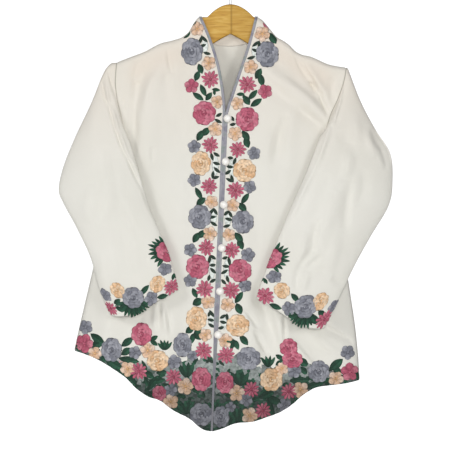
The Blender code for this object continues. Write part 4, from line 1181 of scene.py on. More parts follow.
def embroidery(name, laid):
    """One piece from several sets of petals, each (points, colours, uv, mirrored)."""
    quads, fans = lens_faces()
    per_petal = fans.max() + 1
    faces, first = [], 0
    for points, _, _, mirrored in laid:
        starts = first + per_petal * np.arange(len(points))[:, None, None]
        for shape in (quads, fans):
            turned = shape[:, ::-1] if mirrored else shape
            faces += (starts + turned).reshape(-1, shape.shape[1]).tolist()
        first += per_petal * len(points)
    points, colours, uv = (np.concatenate([part[i].reshape(-1, part[i].shape[-1]) for part in laid])
                           for i in range(3))
    mesh = new_mesh(name, points, faces, uv)
    shades = mesh.color_attributes.new("thread", "FLOAT_COLOR", "POINT")
    with_alpha = np.concatenate([colours, np.ones((len(colours), 1))], 1)
    shades.data.foreach_set("color", with_alpha.astype(np.float32).ravel())
    print(f"{name}: {first // per_petal} petals")
    return finish_piece(name, mesh, rayon)


# %% [markdown]
# ### Motifs
# A rose is a dark ground with four rounds of crescents that overlap inwards. A daisy is eleven
# narrow rays, a blossom five round lobes, and a leaf two half lenses with the vein between them.

# %% Motifs
ROSE_TWIST, ROSE_TUCK, ROSE_BOW = 140, 6, 1.1  # each round turned on, each crescent tucked in
ROSE_ROUNDS = (  # radius, crescents, degrees that each spans, width, layer
    (0.84, 8, 64, 0.42, 0.6), (0.60, 6, 80, 0.36, 0.85), (0.36, 5, 95, 0.30, 1.1),
    (0.14, 2, 150, 0.26, 1.3),
)


def rose(x, z, wide, high, thread, turn=0.0):
    dark, middle, light = THREADS[thread]
    ground = THREADS["ochre"][2] if thread == "peach" else dark
    place = (x, z, wide, high)
    made = [petal(place, (-1, 0), 0, 2, 2, ground, ground, rise=0.5)]
    for radius, count, span, width, layer in ROSE_ROUNDS:
        half = math.radians(span / 2)
        chord, bow = 2 * radius * math.sin(half), radius * (1 - math.cos(half))
        for step in range(count):
            angle = turn + 360 * step / count + ROSE_TWIST * radius
            shades = ((middle, light), (dark, middle), (middle, middle), (light, middle))[step % 4]
            made.append(petal(place, polar(radius, angle), angle + 90 + span / 2 + ROSE_TUCK, chord,
                              width, *shades, bow=bow * ROSE_BOW, full=0.45, layer=layer))
    return made


RAYS, RAY_WIDTH = 11, 0.38


def rays(x, z, radius, thread, turn=0.0):
    dark, middle, light = THREADS[thread]
    place = (x, z, radius, radius)
    made = [petal(place, (0, 0), turn + 360 * step / RAYS, 1.0 + 0.08 * (step % 3), RAY_WIDTH,
                  dark if step % 2 else middle, middle if step % 3 else light, full=0.68, layer=0.5)
            for step in range(RAYS)]
    made.append(petal(place, (-0.2, 0), 0, 0.4, 0.4, dark, dark, layer=0.9))
    return made


def blossom(x, z, radius, thread, turn=0.0):
    dark, middle, light = THREADS[thread]
    base, heart = (dark, THREADS["ochre"][2]) if thread == "blush" else (dark, middle)
    made, place = [], (x, z, radius, radius)
    for step in range(5):
        angle = turn + 90 + 72 * step
        made.append(petal(place, (0, 0), angle, 1.14, 1.0, base, light if step % 2 else middle,
                          full=0.64, layer=0.35))
        made.append(petal(place, (0, 0), angle, 0.6, 0.10, heart, heart, layer=0.8, rise=0.4))
    made.append(petal(place, (-0.14, 0), 0, 0.28, 0.28, heart, heart, layer=1.0))
    return made


LEAF_SPREAD = 1.1  # the stitches stand this much wider than the leaf that was drawn
LEAF_HALF, LEAF_BOW = 0.62, 0.2  # each half's width, and how far it bows from the vein


def leaf(x, z, turn, length, width, thread="green"):
    dark, middle, light = THREADS[thread]
    length, width = length * LEAF_SPREAD, width * LEAF_SPREAD
    return [centred(x, z, turn, length, width * LEAF_HALF, dark, tip, layer=0.2,
                    bow=side * width * LEAF_BOW) for side, tip in ((-1, middle), (1, light))]


def lobed_leaf(x, z, turn, length, width):
    """Two leaves joined end to end, each a little to one side."""
    made, (c, s) = [], polar(1, turn)
    for shift, off, share, swing in ((-0.17, 0.14, 0.66, 8), (0.2, -0.16, 0.62, -10)):
        place = (x + shift * length * c - off * width * s, z + shift * length * s + off * width * c)
        made += leaf(*place, turn + swing, length * share, width * 0.85)
    return made


SPRIG_WIDTH = 6.0


def sprig(x, z, turn, length):
    dark, middle = THREADS["sprig"][:2]
    return [centred(x, z, turn, length * LEAF_SPREAD, SPRIG_WIDTH, dark, middle, bow=0.4, rise=0.6,
                    layer=0.2)]


def fan(x, z, first, last, count, inner, outer, width=4.6):
    """Narrow leaves that stand round part of a circle."""
    dark, middle, light = THREADS["green"]
    made = []
    for step, angle in enumerate(np.linspace(first, last, count)):
        reach = outer * (0.95 + 0.05 * math.sin(2.4 * step + 1))
        made.append(petal((x, z, 1, 1), polar(inner, angle), angle, reach - inner, width, dark,
                          middle if step % 2 else light, bow=0.5, full=0.45, layer=0.25))
    return made


def repeat(motif, rows, *thread_and_turn, swing=0):
    """A motif at each row of a table, each one turned by swing more than the one before."""
    made = []
    for number, row in enumerate(rows):
        made += motif(*row, *thread_and_turn, *([swing * number] if swing else []))
    return made


# %% [markdown]
# ### The fronts' design
# The same flowers climb both edges of the opening, as a loose mirror image: roses outside, small
# blossoms and sprigs towards the buttons. At the hem they spread to the side seams and crowd
# together. Places are the middles of the motifs, in millimetres on the flat front.

# %% Roses of the fronts
FRONT_ROSES = {  # x, z, half width, half height
    "grey": (
        (-69, -161, 20, 25), (-55, -458, 21, 22), (-213, -696, 19, 22), (-86, -687, 17, 22),
        (-52, -811, 22, 21), (66, -166, 21, 24), (22, -467, 20, 21), (32, -711, 22, 21),
        (158, -735, 20, 20), (-17, -815, 15, 20),
    ),
    "pink": (
        (-47, -272, 21, 22), (-59, -547, 21, 22), (-159, -668, 19, 21), (-52, -748, 18, 22),
        (-127, -773, 13, 14), (30, -283, 21, 22), (17, -554, 21, 21), (-10, -754, 16, 20),
        (104, -692, 16, 17), (111, -713, 19, 16),
    ),
    "peach": (
        (-53, -362, 18, 22), (-61, -640, 19, 22), (-130, -715, 20, 19), (25, -375, 21, 21),
        (13, -652, 21, 20), (73, -749, 21, 21),
    ),
}

# %% Daisies and blossoms of the fronts
FRONT_DAISIES = (  # x, z, radius
    (-36, -211, 15), (-36, -329, 14), (-38, -403, 14), (-43, -513, 14), (-46, -587, 15),
    (-48, -697, 15), (-164, -734, 15), (-102, -744, 14), (30, -220, 15), (13, -337, 14),
    (9, -410, 15), (2, -517, 14), (1, -589, 15), (-8, -705, 15), (37, -766, 14), (58, -804, 14),
    (104, -770, 14),
)
FRONT_BLOSSOMS = {
    "grey": (
        (-65, -332, 11), (-65, -392, 11), (-72, -517, 11), (-72, -572, 11), (-260, -656, 12),
        (-171, -701, 11), (-101, -717, 12), (-68, -706, 9), (-107, -767, 11), (42, -344, 11),
        (34, -404, 11), (31, -526, 12), (26, -581, 11), (210, -701, 12), (114, -734, 12),
        (96, -795, 12), (28, -785, 11), (0, -798, 9),
    ),
    "pink": ((-70, -223, 12), (62, -233, 12), (-263, -685, 16), (214, -736, 15)),
    "blush": (
        (-60, -120, 12), (-39, -182, 12), (-24, -252, 11), (-27, -301, 12), (-34, -431, 11),
        (-37, -488, 12), (-40, -610, 12), (-45, -669, 11), (-243, -703, 12), (-148, -697, 13),
        (-184, -730, 13), (-81, -761, 14), (-107, -788, 13), (57, -129, 13), (36, -189, 12),
        (12, -255, 11), (8, -309, 12), (4, -437, 11), (-3, -490, 11), (-5, -615, 12),
        (-9, -679, 12), (92, -729, 11), (189, -748, 13), (11, -773, 14), (125, -767, 14),
        (34, -813, 14),
    ),
}

# %% Leaves of the fronts
FRONT_LEAVES = (  # x, z, turn, length, width
    (-78, -130, 50, 17, 8), (-54, -192, -69, 18, 10),
    (-60, -205, 71, 18, 10), (-49, -231, -65, 22, 9), (-58, -242, -35, 22, 9),
    (-39, -242, 52, 17, 9), (-26, -230, -7, 14, 6), (-29, -235, -80, 9, 5),
    (-57, -416, -61, 23, 9), (-53, -430, 37, 19, 11), (-64, -594, -65, 18, 9),
    (-59, -610, 30, 19, 13), (-73, -660, 37, 17, 11), (76, -137, -58, 21, 12),
    (50, -201, 62, 20, 11), (55, -212, -76, 22, 11), (18, -238, 2, 14, 6),
    (25, -244, -63, 12, 6), (29, -249, -58, 18, 11), (40, -239, 47, 22, 9),
    (46, -253, 34, 23, 10), (26, -425, 54, 22, 9), (21, -440, -43, 19, 11),
    (15, -602, 56, 23, 10), (15, -622, -66, 20, 12), (24, -678, -51, 21, 11),
)
HEM_LEAVES = (
    (-273, -692, -80, 14, 8), (-238, -677, -37, 25, 10), (-239, -686, 19, 21, 10),
    (-227, -712, -50, 11, 7), (-209, -721, -30, 30, 11), (-199, -736, -35, 20, 7),
    (-185, -682, 37, 20, 9), (-137, -675, 30, 13, 6), (-137, -683, -35, 13, 6),
    (-187, -699, 37, 16, 9), (-182, -714, -10, 29, 9), (-154, -725, -65, 18, 5),
    (-177, -750, -53, 20, 9), (-146, -740, -33, 20, 8), (-150, -753, -68, 16, 6),
    (-139, -755, 54, 27, 9), (-146, -777, -22, 17, 7), (-123, -736, 5, 16, 8),
    (-130, -751, 13, 24, 8), (-112, -759, -20, 16, 5), (-64, -759, -20, 10, 5),
    (-63, -768, -25, 12, 6), (-89, -778, -10, 12, 5), (-43, -838, -10, 15, 6),
    (-48, -776, -85, 10, 4), (88, -709, -30, 13, 6), (87, -719, 35, 12, 6),
    (130, -718, -41, 17, 10), (131, -733, -50, 14, 8), (123, -750, 0, 30, 9),
    (98, -758, 30, 10, 6), (150, -759, 12, 28, 9), (170, -751, 20, 16, 6),
    (189, -723, 40, 25, 11), (191, -733, -30, 15, 8), (227, -742, -80, 14, 6),
    (10, -788, -40, 10, 5), (-3, -777, 0, 11, 5), (44, -784, 15, 15, 6), (64, -776, 20, 24, 10),
    (78, -786, -25, 24, 10), (70, -795, -70, 22, 8), (87, -791, -75, 15, 6), (3, -822, 60, 20, 8),
    (74, -806, -80, 18, 7), (21, -831, 10, 22, 7),
)
NECK_BUD_RIGHT, NECK_BUD_LEFT = (-65.5, -110.5, 54, 14, 6), (63.5, -114.5, -48, 15, 6)
LOBED_LEAVES = (
    (-50, -309, 53, 31, 13), (-57, -492, 51, 30, 13), (28, -318, -62, 31, 13),
    (16, -500, -57, 32, 13),
)
FRONT_FANS = (  # x, z, first and last angle, count, inner and outer radius, width
    (-66, -666, -100, 20, 3, 0, 19, 10), (8, -678, -160, -70, 3, 0, 20, 10),
    (-118, -697, 50, 132, 5, 1, 21, 6), (-78, -747, 66, 122, 4, 1, 33, 10),
    (-79, -811, 60, 133, 5, 0, 28, 9), (-44, -801, 62, 124, 3, 0, 15, 6),
    (17, -761, 58, 122, 4, 0, 31, 11), (67, -727, 55, 126, 4, 0, 23, 7),
    (12, -827, 62, 124, 5, 0, 32, 10), (-24, -801, 60, 120, 3, 0, 13, 6),
)

# %% Sprigs by the buttons
SPRIGS = (  # x, z, turn, length
    (-54, -140, 70, 17), (-47, -138, -45, 16), (-50, -150, 19, 12), (-42, -164, -14, 13),
    (-21, -275, 28, 12), (-22, -286, -27, 14), (-25, -346, -32, 13), (-33, -350, -75, 14),
    (-25, -362, -16, 13), (-24, -374, -41, 15), (-32, -382, 80, 12), (-27, -387, 11, 13),
    (-35, -449, 58, 14), (-27, -448, -59, 14), (-33, -458, 5, 14), (-30, -470, -32, 14),
    (-38, -534, 78, 17), (-31, -530, -37, 12), (-32, -544, 5, 11), (-31, -554, -43, 14),
    (-39, -567, 76, 11), (-32, -572, 30, 12), (-38, -631, 66, 11), (-33, -631, -54, 15),
    (-35, -642, -11, 12), (-34, -652, -31, 13), (-40, -715, 45, 11), (-34, -716, -40, 10),
    (45, -147, 40, 15), (52, -149, -88, 14), (45, -159, -23, 14), (37, -172, 16, 15),
    (4, -282, -63, 9), (4, -292, 13, 11), (0, -352, -6, 10), (7, -358, 69, 13),
    (-1, -368, -7, 12), (-5, -378, 33, 14), (-1, -392, -24, 15), (3, -389, -72, 13),
    (-8, -451, 47, 11), (0, -453, -61, 13), (-3, -462, -15, 14), (-7, -474, 16, 13),
    (-10, -531, 18, 10), (-2, -537, -80, 17), (-8, -546, -7, 13), (-11, -556, 30, 14),
    (-5, -569, -74, 13), (-12, -574, -45, 12), (-14, -636, 32, 12), (-6, -637, -85, 12),
    (-13, -646, -13, 12), (-17, -656, 15, 11), (-16, -719, -45, 14),
)
MINTS = (  # x, z, length and width of the pale grounds behind the sprigs
    (-46, -151, 28, 13), (-27, -366, 40, 13), (-30, -459, 28, 12), (-33, -552, 40, 12),
    (-34, -642, 28, 12), (44, -160, 28, 13), (2, -371, 40, 13), (-5, -463, 28, 12),
    (-7, -552, 40, 12), (-12, -646, 28, 12),
)


def mint(x, z, length, width):
    return [centred(x, z, 90, length, width, *THREADS["mint"][1:], rise=0.1, layer=0.05)]


HEM_LEAF_LONGER, HEM_LEAF_WIDER = 1.2, 1.3


def hem_leaf(x, z, turn, length, width):
    return leaf(x, z, turn, HEM_LEAF_LONGER * length, HEM_LEAF_WIDER * width)


# %% [markdown]
# ### Ground between the hem's flowers
# Towards the point of the hem the cloth between the flowers is filled with patches of grey and
# green stitches. A short table says how high above the hem the filling reaches.

# %% Ground rows
GROUND_STEP, GROUND_ROW = 7.0, 5.5  # mm between patches along a row, and between rows
GROUND = table(  # share of the way from the point to the side, and the heights
    "share right left",
    (0.0, 132, 132), (0.1, 116, 124), (0.2, 92, 108), (0.3, 68, 92), (0.4, 44, 80), (0.5, 27, 64),
    (0.6, 16, 46), (0.7, 12, 25), (0.8, 10, 14), (0.9, 6, 8), (1.0, 3, 4),
)
GROUND_GREEN, GROUND_GREEN_FADE = 0.42, 1.3  # share of the patches that are green
GROUND_MIST, GROUND_MIST_BLUR = 0.62, 0.15  # share of the height above which the grey is pale
GROUND_LENGTH, GROUND_WIDTH, GROUND_TURN = (13, 19), (8, 12), 75
GROUND_FIRST, GROUND_LAST, GROUND_UP = 3.0, 2.0, 2.5  # mm from the point, the side and the hem
GROUND_ASTRAY = (2.5, 2.0)  # mm that a patch may stray across and up
chance = np.random.default_rng(7)


def ground_patch(x, z, high=0.0, spread=1.0, layer=0.1):
    """One patch of stitches: green or dark near the hem, mistier towards the filling's top."""
    blur = chance.uniform(-GROUND_MIST_BLUR, GROUND_MIST_BLUR)
    thread = "mist" if high > GROUND_MIST + blur else "ground"
    if chance.uniform() < GROUND_GREEN * (GROUND_GREEN_FADE - high):
        thread = "green"
    first, second = chance.permutation(3)[:2]
    length = spread * chance.uniform(*GROUND_LENGTH)
    width = spread * chance.uniform(*GROUND_WIDTH)
    return centred(x, z, chance.uniform(-GROUND_TURN, GROUND_TURN), length, width,
                   THREADS[thread][first], THREADS[thread][second], rise=0.3, layer=layer)


def ground_fill(side, step=GROUND_STEP, row=GROUND_ROW, spread=1.0, layer=0.1):
    """Patches in rows that follow the hem, up to the height in the table."""
    point_x, corner_x = hem_ends_x(side)
    made = []
    for along in np.arange(GROUND_FIRST, abs(corner_x - point_x) - GROUND_LAST, step):
        share = along / abs(corner_x - point_x)
        top = read(share, GROUND, WORD[side])
        for up in np.arange(GROUND_UP, top, row):
            x, z = (at + chance.uniform(-astray, astray) for at, astray in
                    zip((point_x + side * along, hem_z(share, side) + up), GROUND_ASTRAY))
            made.append(ground_patch(x, z, up / top, spread, layer))
    return made


# %% Laying a design on the fronts
HEM_DEEPER, HEM_DEEP_Z, HEM_DEEP_FADE = 0.4, -722.0, 60.0  # threads darken towards the point
EDGE_GIVE = 0.07  # what is left of a petal's overlap where it meets a binding or a seam
EDGE_OVER, SHOULDER_CLEAR, BINDING_UNDER = 1.0, 3.0, 0.6  # mm past an edge, or short of one


def held_in(value, low, high):
    """Between low and high, with a little of any overlap kept, so no petal shuts to a line."""
    inside = np.clip(value, low, high)
    return inside + (value - inside) * EDGE_GIVE


def hem_below(x, side):
    point_x, corner_x = hem_ends_x(side)
    return hem_z(np.clip((x - point_x) / (corner_x - point_x), 0, 1), side)


def raised(surface, x, z, lift, outward):
    """Points lift millimetres off y = surface(x, z), along the normal (-dy/dx, 1, -dy/dz)."""
    slope_x = (surface(x + 1, z) - surface(x - 1, z)) / 2
    slope_z = (surface(x, z + 1) - surface(x, z - 1)) / 2
    long = np.sqrt(1 + slope_x**2 + slope_z**2)
    lift = lift * outward / long
    return np.stack([x - slope_x * lift, surface(x, z) + lift, z - slope_z * lift], -1)


def on_front(petals, side):
    centre, offset, lift, colour, uv = lay_out(petals)
    x, z = np.moveaxis(centre[:, None] + offset, -1, 0)
    z = held_in(z, hem_below(x, side) - EDGE_OVER, shoulder_z(x) - SHOULDER_CLEAR)
    inner = front_edge_x(z, side) + side * (binding_width(z) - BINDING_UNDER)
    outer = outer_edge_x(z, side) - side * EDGE_OVER
    x = held_in(x, np.minimum(inner, outer), np.maximum(inner, outer))
    deep = 1 - HEM_DEEPER * ease((HEM_DEEP_Z - centre[:, 1]) / HEM_DEEP_FADE)
    return raised(front_y, x, z, lift, -1), colour * deep[:, None, None], uv, False


def front_design():
    made = []
    for thread, rows in FRONT_ROSES.items():
        made += repeat(rose, rows, thread, swing=47)
    made += repeat(rays, FRONT_DAISIES, "pink", swing=11)
    for thread, rows in FRONT_BLOSSOMS.items():
        made += repeat(blossom, rows, thread, swing=25)
    made += repeat(leaf, FRONT_LEAVES) + repeat(hem_leaf, HEM_LEAVES)
    made += leaf(*NECK_BUD_RIGHT, "sprig") + leaf(*NECK_BUD_LEFT, "pink")
    made += repeat(lobed_leaf, LOBED_LEAVES) + repeat(mint, MINTS)
    return made + repeat(sprig, SPRIGS) + repeat(fan, FRONT_FANS)


stitched = {"fronts": {}, "cuffs": {}}
design = np.array(front_design())
beside = np.sign(design[:, 0] - opening_x(design[:, 1]))
for side, word in WORD.items():
    under = ground_fill(side, 2 * GROUND_STEP, 2 * GROUND_ROW, 2.0, 0.0)
    rows = np.concatenate([under, ground_fill(side), design[beside == side]])
    stitched["fronts"][side] = embroidery(f"embroidery_front_{word}", [on_front(rows, side)])

# %% [markdown]
# ### The cuffs' design
# Each cuff carries the same flowers round its edge, with a half rose on the fold that throws out a
# fan of leaves, and a grey rose at the edge with another. The design is laid on the unrolled
# sleeve: millimetres round it and millimetres along it. The back of the cuff repeats it mirrored.

# %% Tables of the cuffs
CUFF_ROSES = {
    -1: {"pink": ((-112, -519, 23, 23),), "grey": ((-173, -602, 20, 18),),
         "peach": ((-130, -577, 15, 16), (-202, -590, 13, 13))},
    1: {"pink": ((70, -532, 23, 23),), "grey": ((134, -619, 21, 20),),
        "peach": ((91, -589, 15, 16), (160, -608, 14, 15))},
}
CUFF_DAISIES = {
    -1: ((-105, -582, 15), (-213, -621, 11)),
    1: ((61, -598, 18), (167, -641, 14)),
}
CUFF_BLOSSOMS = {
    -1: ((-117, -552, 12), (-142, -603, 12), (-224, -598, 10)),
    1: ((77, -565, 13), (103, -622, 12), (184, -616, 10)),
}
CUFF_LEAVES = {
    -1: ((-102, -565, 85, 14, 6), (-121, -600, 0, 20, 9), (-154, -588, 40, 22, 9),
         (-202, -609, 40, 15, 7), (-197, -623, -8, 17, 8), (-151, -614, 32, 15, 7)),
    1: ((52, -570, 55, 11, 4), (62, -573, -65, 14, 6), (80, -618, -8, 23, 10),
        (115, -603, -38, 19, 9), (162, -629, -42, 16, 8), (153, -643, -12, 19, 9),
        (108, -634, -20, 15, 7)),
}
CUFF_FANS = {
    -1: ((-112, -519, 108, 232, 9, 16, 38, 7), (-175, -602, 206, 336, 13, 14, 37, 5.5)),
    1: ((70, -532, -52, 74, 9, 16, 38, 7), (134, -620, 205, 322, 12, 14, 37, 5.5)),
}
CUFF_FIRST_ROW = 95  # of the sleeve's grid, where the unrolled part starts
CUFF_COLUMNS = 240


def unrolled(side):
    """The sleeve's lower part at even shares round it, with its normals, its girth in each row
    and each row's distance up from the cuff's edge."""
    grid = sleeve_grids[side][CUFF_FIRST_ROW:]
    closed = np.concatenate([grid, grid[:, :1]], 1)
    arc = np.linalg.norm(np.diff(closed, axis=1), axis=-1).cumsum(1)
    arc = np.concatenate([np.zeros((len(arc), 1)), arc], 1)
    shares = np.arange(CUFF_COLUMNS) / CUFF_COLUMNS
    even_grid = np.array([[np.interp(shares * row_arc[-1], row_arc, row[:, i]) for i in range(3)]
                          for row, row_arc in zip(closed, arc)]).transpose(0, 2, 1)
    around = np.roll(even_grid, -1, axis=1) - np.roll(even_grid, 1, axis=1)
    normal = np.cross(np.gradient(even_grid, axis=0), around) * -side
    normal = normal / np.linalg.norm(normal, axis=-1, keepdims=True)
    step = np.linalg.norm(np.diff(even_grid, axis=0), axis=-1).mean(1)
    up = np.concatenate([step[::-1].cumsum()[::-1], [0]])
    return even_grid, normal, arc[:, -1], up


def look_up(field, row, share):
    """Read a field over the unrolled sleeve: straight between its points, round past its end,
    and straight on past the cuff's edge."""
    first = np.clip(np.floor(row).astype(int), 0, len(field) - 2)
    column_at = (share % 1) * CUFF_COLUMNS
    left = np.floor(column_at).astype(int) % CUFF_COLUMNS
    right = (left + 1) % CUFF_COLUMNS
    t, s = (row - first)[..., None], (column_at - np.floor(column_at))[..., None]
    high = field[first, left] * (1 - s) + field[first, right] * s
    low = field[first + 1, left] * (1 - s) + field[first + 1, right] * s
    return high * (1 - t) + low * t


def on_cuff(petals, side, mirrored=False):
    """Each motif is put at the point of the front wall that its place names. Offsets from it are
    turned to lie round and up the sleeve there."""
    centre, offset, lift, colour, uv = lay_out(petals)
    grid, normal, girth, up = unrolled(side)
    front = grid[:, : CUFF_COLUMNS // 2 + 6, ::2]
    away = ((centre[:, None, None] - front[None]) ** 2).sum(-1)
    row, col = np.unravel_index(away.reshape(len(centre), -1).argmin(1), front.shape[:2])
    reach = grid[row, CUFF_COLUMNS // 2][:, ::2] - grid[row, 0][:, ::2]
    reach = reach / np.linalg.norm(reach, axis=-1, keepdims=True)
    climb = np.stack([reach[:, 1], -reach[:, 0]], -1) * side
    round_mm = (offset * reach[:, None]).sum(-1)
    up_mm = (offset * climb[:, None]).sum(-1) + up[row][:, None]
    share = col[:, None] / CUFF_COLUMNS + round_mm / girth[row][:, None]
    share = 1 - share if mirrored else share
    at = np.interp(np.maximum(up_mm, 0), up[::-1], np.arange(len(up))[::-1])
    at = at + np.clip(-up_mm, 0, 5) / (up[-2] - up[-1])
    points = look_up(grid, at, share) + lift[..., None] * look_up(normal, at, share)
    return points, colour, uv, mirrored


def cuff_design(side, for_back=False):
    """The cuff's motifs. Those that lie on the fold, and the daisies, aren't on the back."""
    made = []
    for thread, rows in CUFF_ROSES[side].items():
        if not (for_back and thread == "pink"):
            made += repeat(rose, rows, thread, 60)
    made += repeat(rays, CUFF_DAISIES[side][for_back * 2:], "pink")
    made += repeat(blossom, CUFF_BLOSSOMS[side][for_back:], "grey", 20)
    return made + repeat(leaf, CUFF_LEAVES[side]) + repeat(fan, CUFF_FANS[side][for_back:])


for side, word in WORD.items():
    laid = [on_cuff(cuff_design(side), side), on_cuff(cuff_design(side, True), side, True)]
    stitched["cuffs"][side] = embroidery(f"embroidery_cuff_{word}", laid)

# %% [markdown]
# ### The back's hem
# The back's hem has a narrower border of the same flowers, set out by a loop: one repeat of seven
# motifs, carried from side seam to side seam.

# %% Back border
BACK_REPEAT = 132.0
BACK_REACH = (-256, 238)  # the motifs' middles lie between these
BACK_STARTS, BACK_GROUND = (-282, 250), (-270, 228)
BACK_GROUND_UP, BACK_GROUND_ASTRAY = 4.0, 1.0  # mm above the hem
BACK_BORDER = (  # kind, place along the repeat, height above the hem, size
    ("grey", 12, 25, 19), ("leaf", 34, 38, 20), ("blush_blossom", 36, 14, 12),
    ("pink", 57, 26, 19), ("leaf", 79, 36, -20), ("daisy", 80, 14, 14), ("peach", 102, 25, 18),
    ("grey_blossom", 122, 40, 10), ("leaf", 122, 14, 24),
)


def back_hem_below(x):
    low_right, low_left = BACK_CORNER_X
    return back_hem_z(np.clip((x - low_right) / (low_left - low_right), 0, 1))


def back_design():
    made = []
    for start in np.arange(*BACK_STARTS, BACK_REPEAT):
        for kind, along, above, size in BACK_BORDER:
            x = start + along
            if not BACK_REACH[0] < x < BACK_REACH[1]:
                continue
            z = back_hem_below(x) + above
            if kind in ("grey", "pink", "peach"):
                made += rose(x, z, abs(size), abs(size), kind, x)
            elif kind == "leaf":
                made += leaf(x, z, 2 * size, abs(size), 9)
            elif kind == "daisy":
                made += rays(x, z, size, "pink", x)
            else:
                made += blossom(x, z, size, kind.split("_")[0], x)
    for x in np.arange(*BACK_GROUND, GROUND_STEP):
        astray = chance.uniform(-BACK_GROUND_ASTRAY, BACK_GROUND_ASTRAY)
        z = back_hem_below(x) + BACK_GROUND_UP + astray
        made.append(ground_patch(x, z))
    return made


def on_back(petals):
    centre, offset, lift, colour, uv = lay_out(petals)
    x, z = np.moveaxis(centre[:, None] + offset, -1, 0)
    z = held_in(z, back_hem_below(x) - EDGE_OVER, NECK_Z)
    x = held_in(x, side_x(z, -1) + EDGE_OVER, side_x(z, 1) - EDGE_OVER)
    return raised(back_y, x, z, lift, 1), colour, uv, True


back_stitched = embroidery("embroidery_back_hem", [on_back(back_design())])

# %% [markdown]
# ## Buttons
# Six small domes covered in white, with a soft pearl shine. Each is a turned profile: a flat back,
# a rounded edge and a dome, with a shallow step where the cap meets its rim.

# %% Buttons
BUTTON_WHITE, BUTTON_SHADE = "#FDFBF7", "#F0EDE6"
BUTTON_COUNT, BUTTON_DIAMETER, BUTTON_HEIGHT = 6, 14.6, 8.4
BUTTON_FIRST_Z, BUTTON_SPACING, BUTTON_FROM_EDGE = -281.5, 77.4, 4.3
BUTTON_RINGS, BUTTON_ROUND, BUTTON_LEAST = 36, 36, 0.02  # and the least radius, in mm
BUTTON_PROFILE = (  # share of the radius, share of the height
    (0.0, 0.0), (0.5, 0.0), (0.82, 0.03), (0.95, 0.12), (1.0, 0.24), (0.985, 0.34), (0.95, 0.38),
    (0.945, 0.43), (0.93, 0.52), (0.87, 0.65), (0.77, 0.77), (0.63, 0.87), (0.46, 0.94),
    (0.25, 0.985), (0.0, 1.0),
)


def button_material():
    """Moulded pearl-white button: smooth and glossy, with a faint swirl of shade."""
    made, tree, shader = new_material("pearl_button", Roughness=0.28, IOR=1.5, Coat_Weight=0.3)
    swirl = noise(tree, placed(tree)["Object"], 160.0, detail=2.0, distortion=1.2)
    dress(tree, shader, blend(tree, swirl, BUTTON_WHITE, BUTTON_SHADE))
    return made


pearl = button_material()


def button_points(index):
    """The profile turned round the button's own axis, which points out of the front."""
    profile = np.array(BUTTON_PROFILE)
    fine = np.linspace(0, len(profile) - 1, BUTTON_RINGS)
    radius = np.interp(fine, np.arange(len(profile)), profile[:, 0]) * BUTTON_DIAMETER / 2
    height = np.interp(fine, np.arange(len(profile)), profile[:, 1]) * BUTTON_HEIGHT
    turn = np.linspace(0, 2 * math.pi, BUTTON_ROUND, endpoint=False)
    z = BUTTON_FIRST_Z - index * BUTTON_SPACING
    x = float(opening_x(z)) + BUTTON_FROM_EDGE
    _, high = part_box(f"button_{index + 1}")
    back = float(high.y) / MM
    radius = np.maximum(radius, BUTTON_LEAST)[:, None]
    return np.stack([x + radius * np.cos(turn), back - height[:, None] + 0 * turn,
                     z + radius * np.sin(turn)], -1)


for index in range(BUTTON_COUNT):
    points = button_points(index)
    name = f"button_{index + 1}_dome"
    mesh = grid_mesh(name, points, ring=True, caps=True)
    finish_piece(name, mesh, pearl, (f"button_{index + 1}",))
print("buttons:", BUTTON_COUNT, "of", BUTTON_DIAMETER, "mm")

# %% [markdown]
# ## Hanger
# The hanger is two arms of golden beech, glued at the crown, sanded to rounded edges and
# lacquered. The grain runs along the arms. The hook is bent from plated steel wire.

# %% Wood and steel
BEECH = ((0.3, "#B8883A"), (0.5, "#D0A44C"), (0.68, "#DDB967"))  # dark, middle and light grain
FLECK_SHARE = 0.25
# The glue line's dark, which also serves as painted shade on the arms' top and bottom faces.
JOINT_AND_SHADE_DARK = "#8E6A28"
GRAIN_SPACING = 3.5  # mm between growth lines on the face
WIRE_GREY, WIRE_SHADE = "#C9CACC", "#A9ABAE"


def beech_material():
    """Lacquered beech: fine streaks along the grain, short darker flecks, and a clear coat."""
    made, tree, shader = new_material("lacquered_beech", Roughness=0.6, Specular_IOR_Level=0.2,
                                      Coat_Weight=0.04, Coat_Roughness=0.35)
    place = placed(tree)["Object"]
    along = stretch(tree, place, (1.0, 9.0, 9.0), rotation=(0, math.radians(2), 0))
    grain = noise(tree, along, 1000 / GRAIN_SPACING / 9, detail=4.0, distortion=0.6)
    flecks = noise(tree, stretch(tree, place, (120, 900, 900)), 1.0)
    share = add_node(tree, "ShaderNodeMath", [(0, flecks)], operation="MULTIPLY")
    share.inputs[1].default_value = FLECK_SHARE
    flecked = blend(tree, share.outputs[0], colour_ramp(tree, grain, BEECH), BEECH[0][1])
    # Darker at the glue line, and painted shade on the arms' top and bottom faces.
    jointed_and_shaded = blend(tree, attribute(tree, "joint")["Fac"], flecked, JOINT_AND_SHADE_DARK)
    dress(tree, shader, jointed_and_shaded, grain, strength=0.1, distance=0.0003)
    return made


def steel_material():
    """Bright-plated steel wire with faint scratches."""
    made, tree, shader = new_material("plated_steel_wire", Metallic=1.0, Roughness=0.28)
    marks = noise(tree, placed(tree)["Object"], 400.0, detail=2.0)
    dress(tree, shader, blend(tree, marks, WIRE_GREY, WIRE_SHADE))
    return made


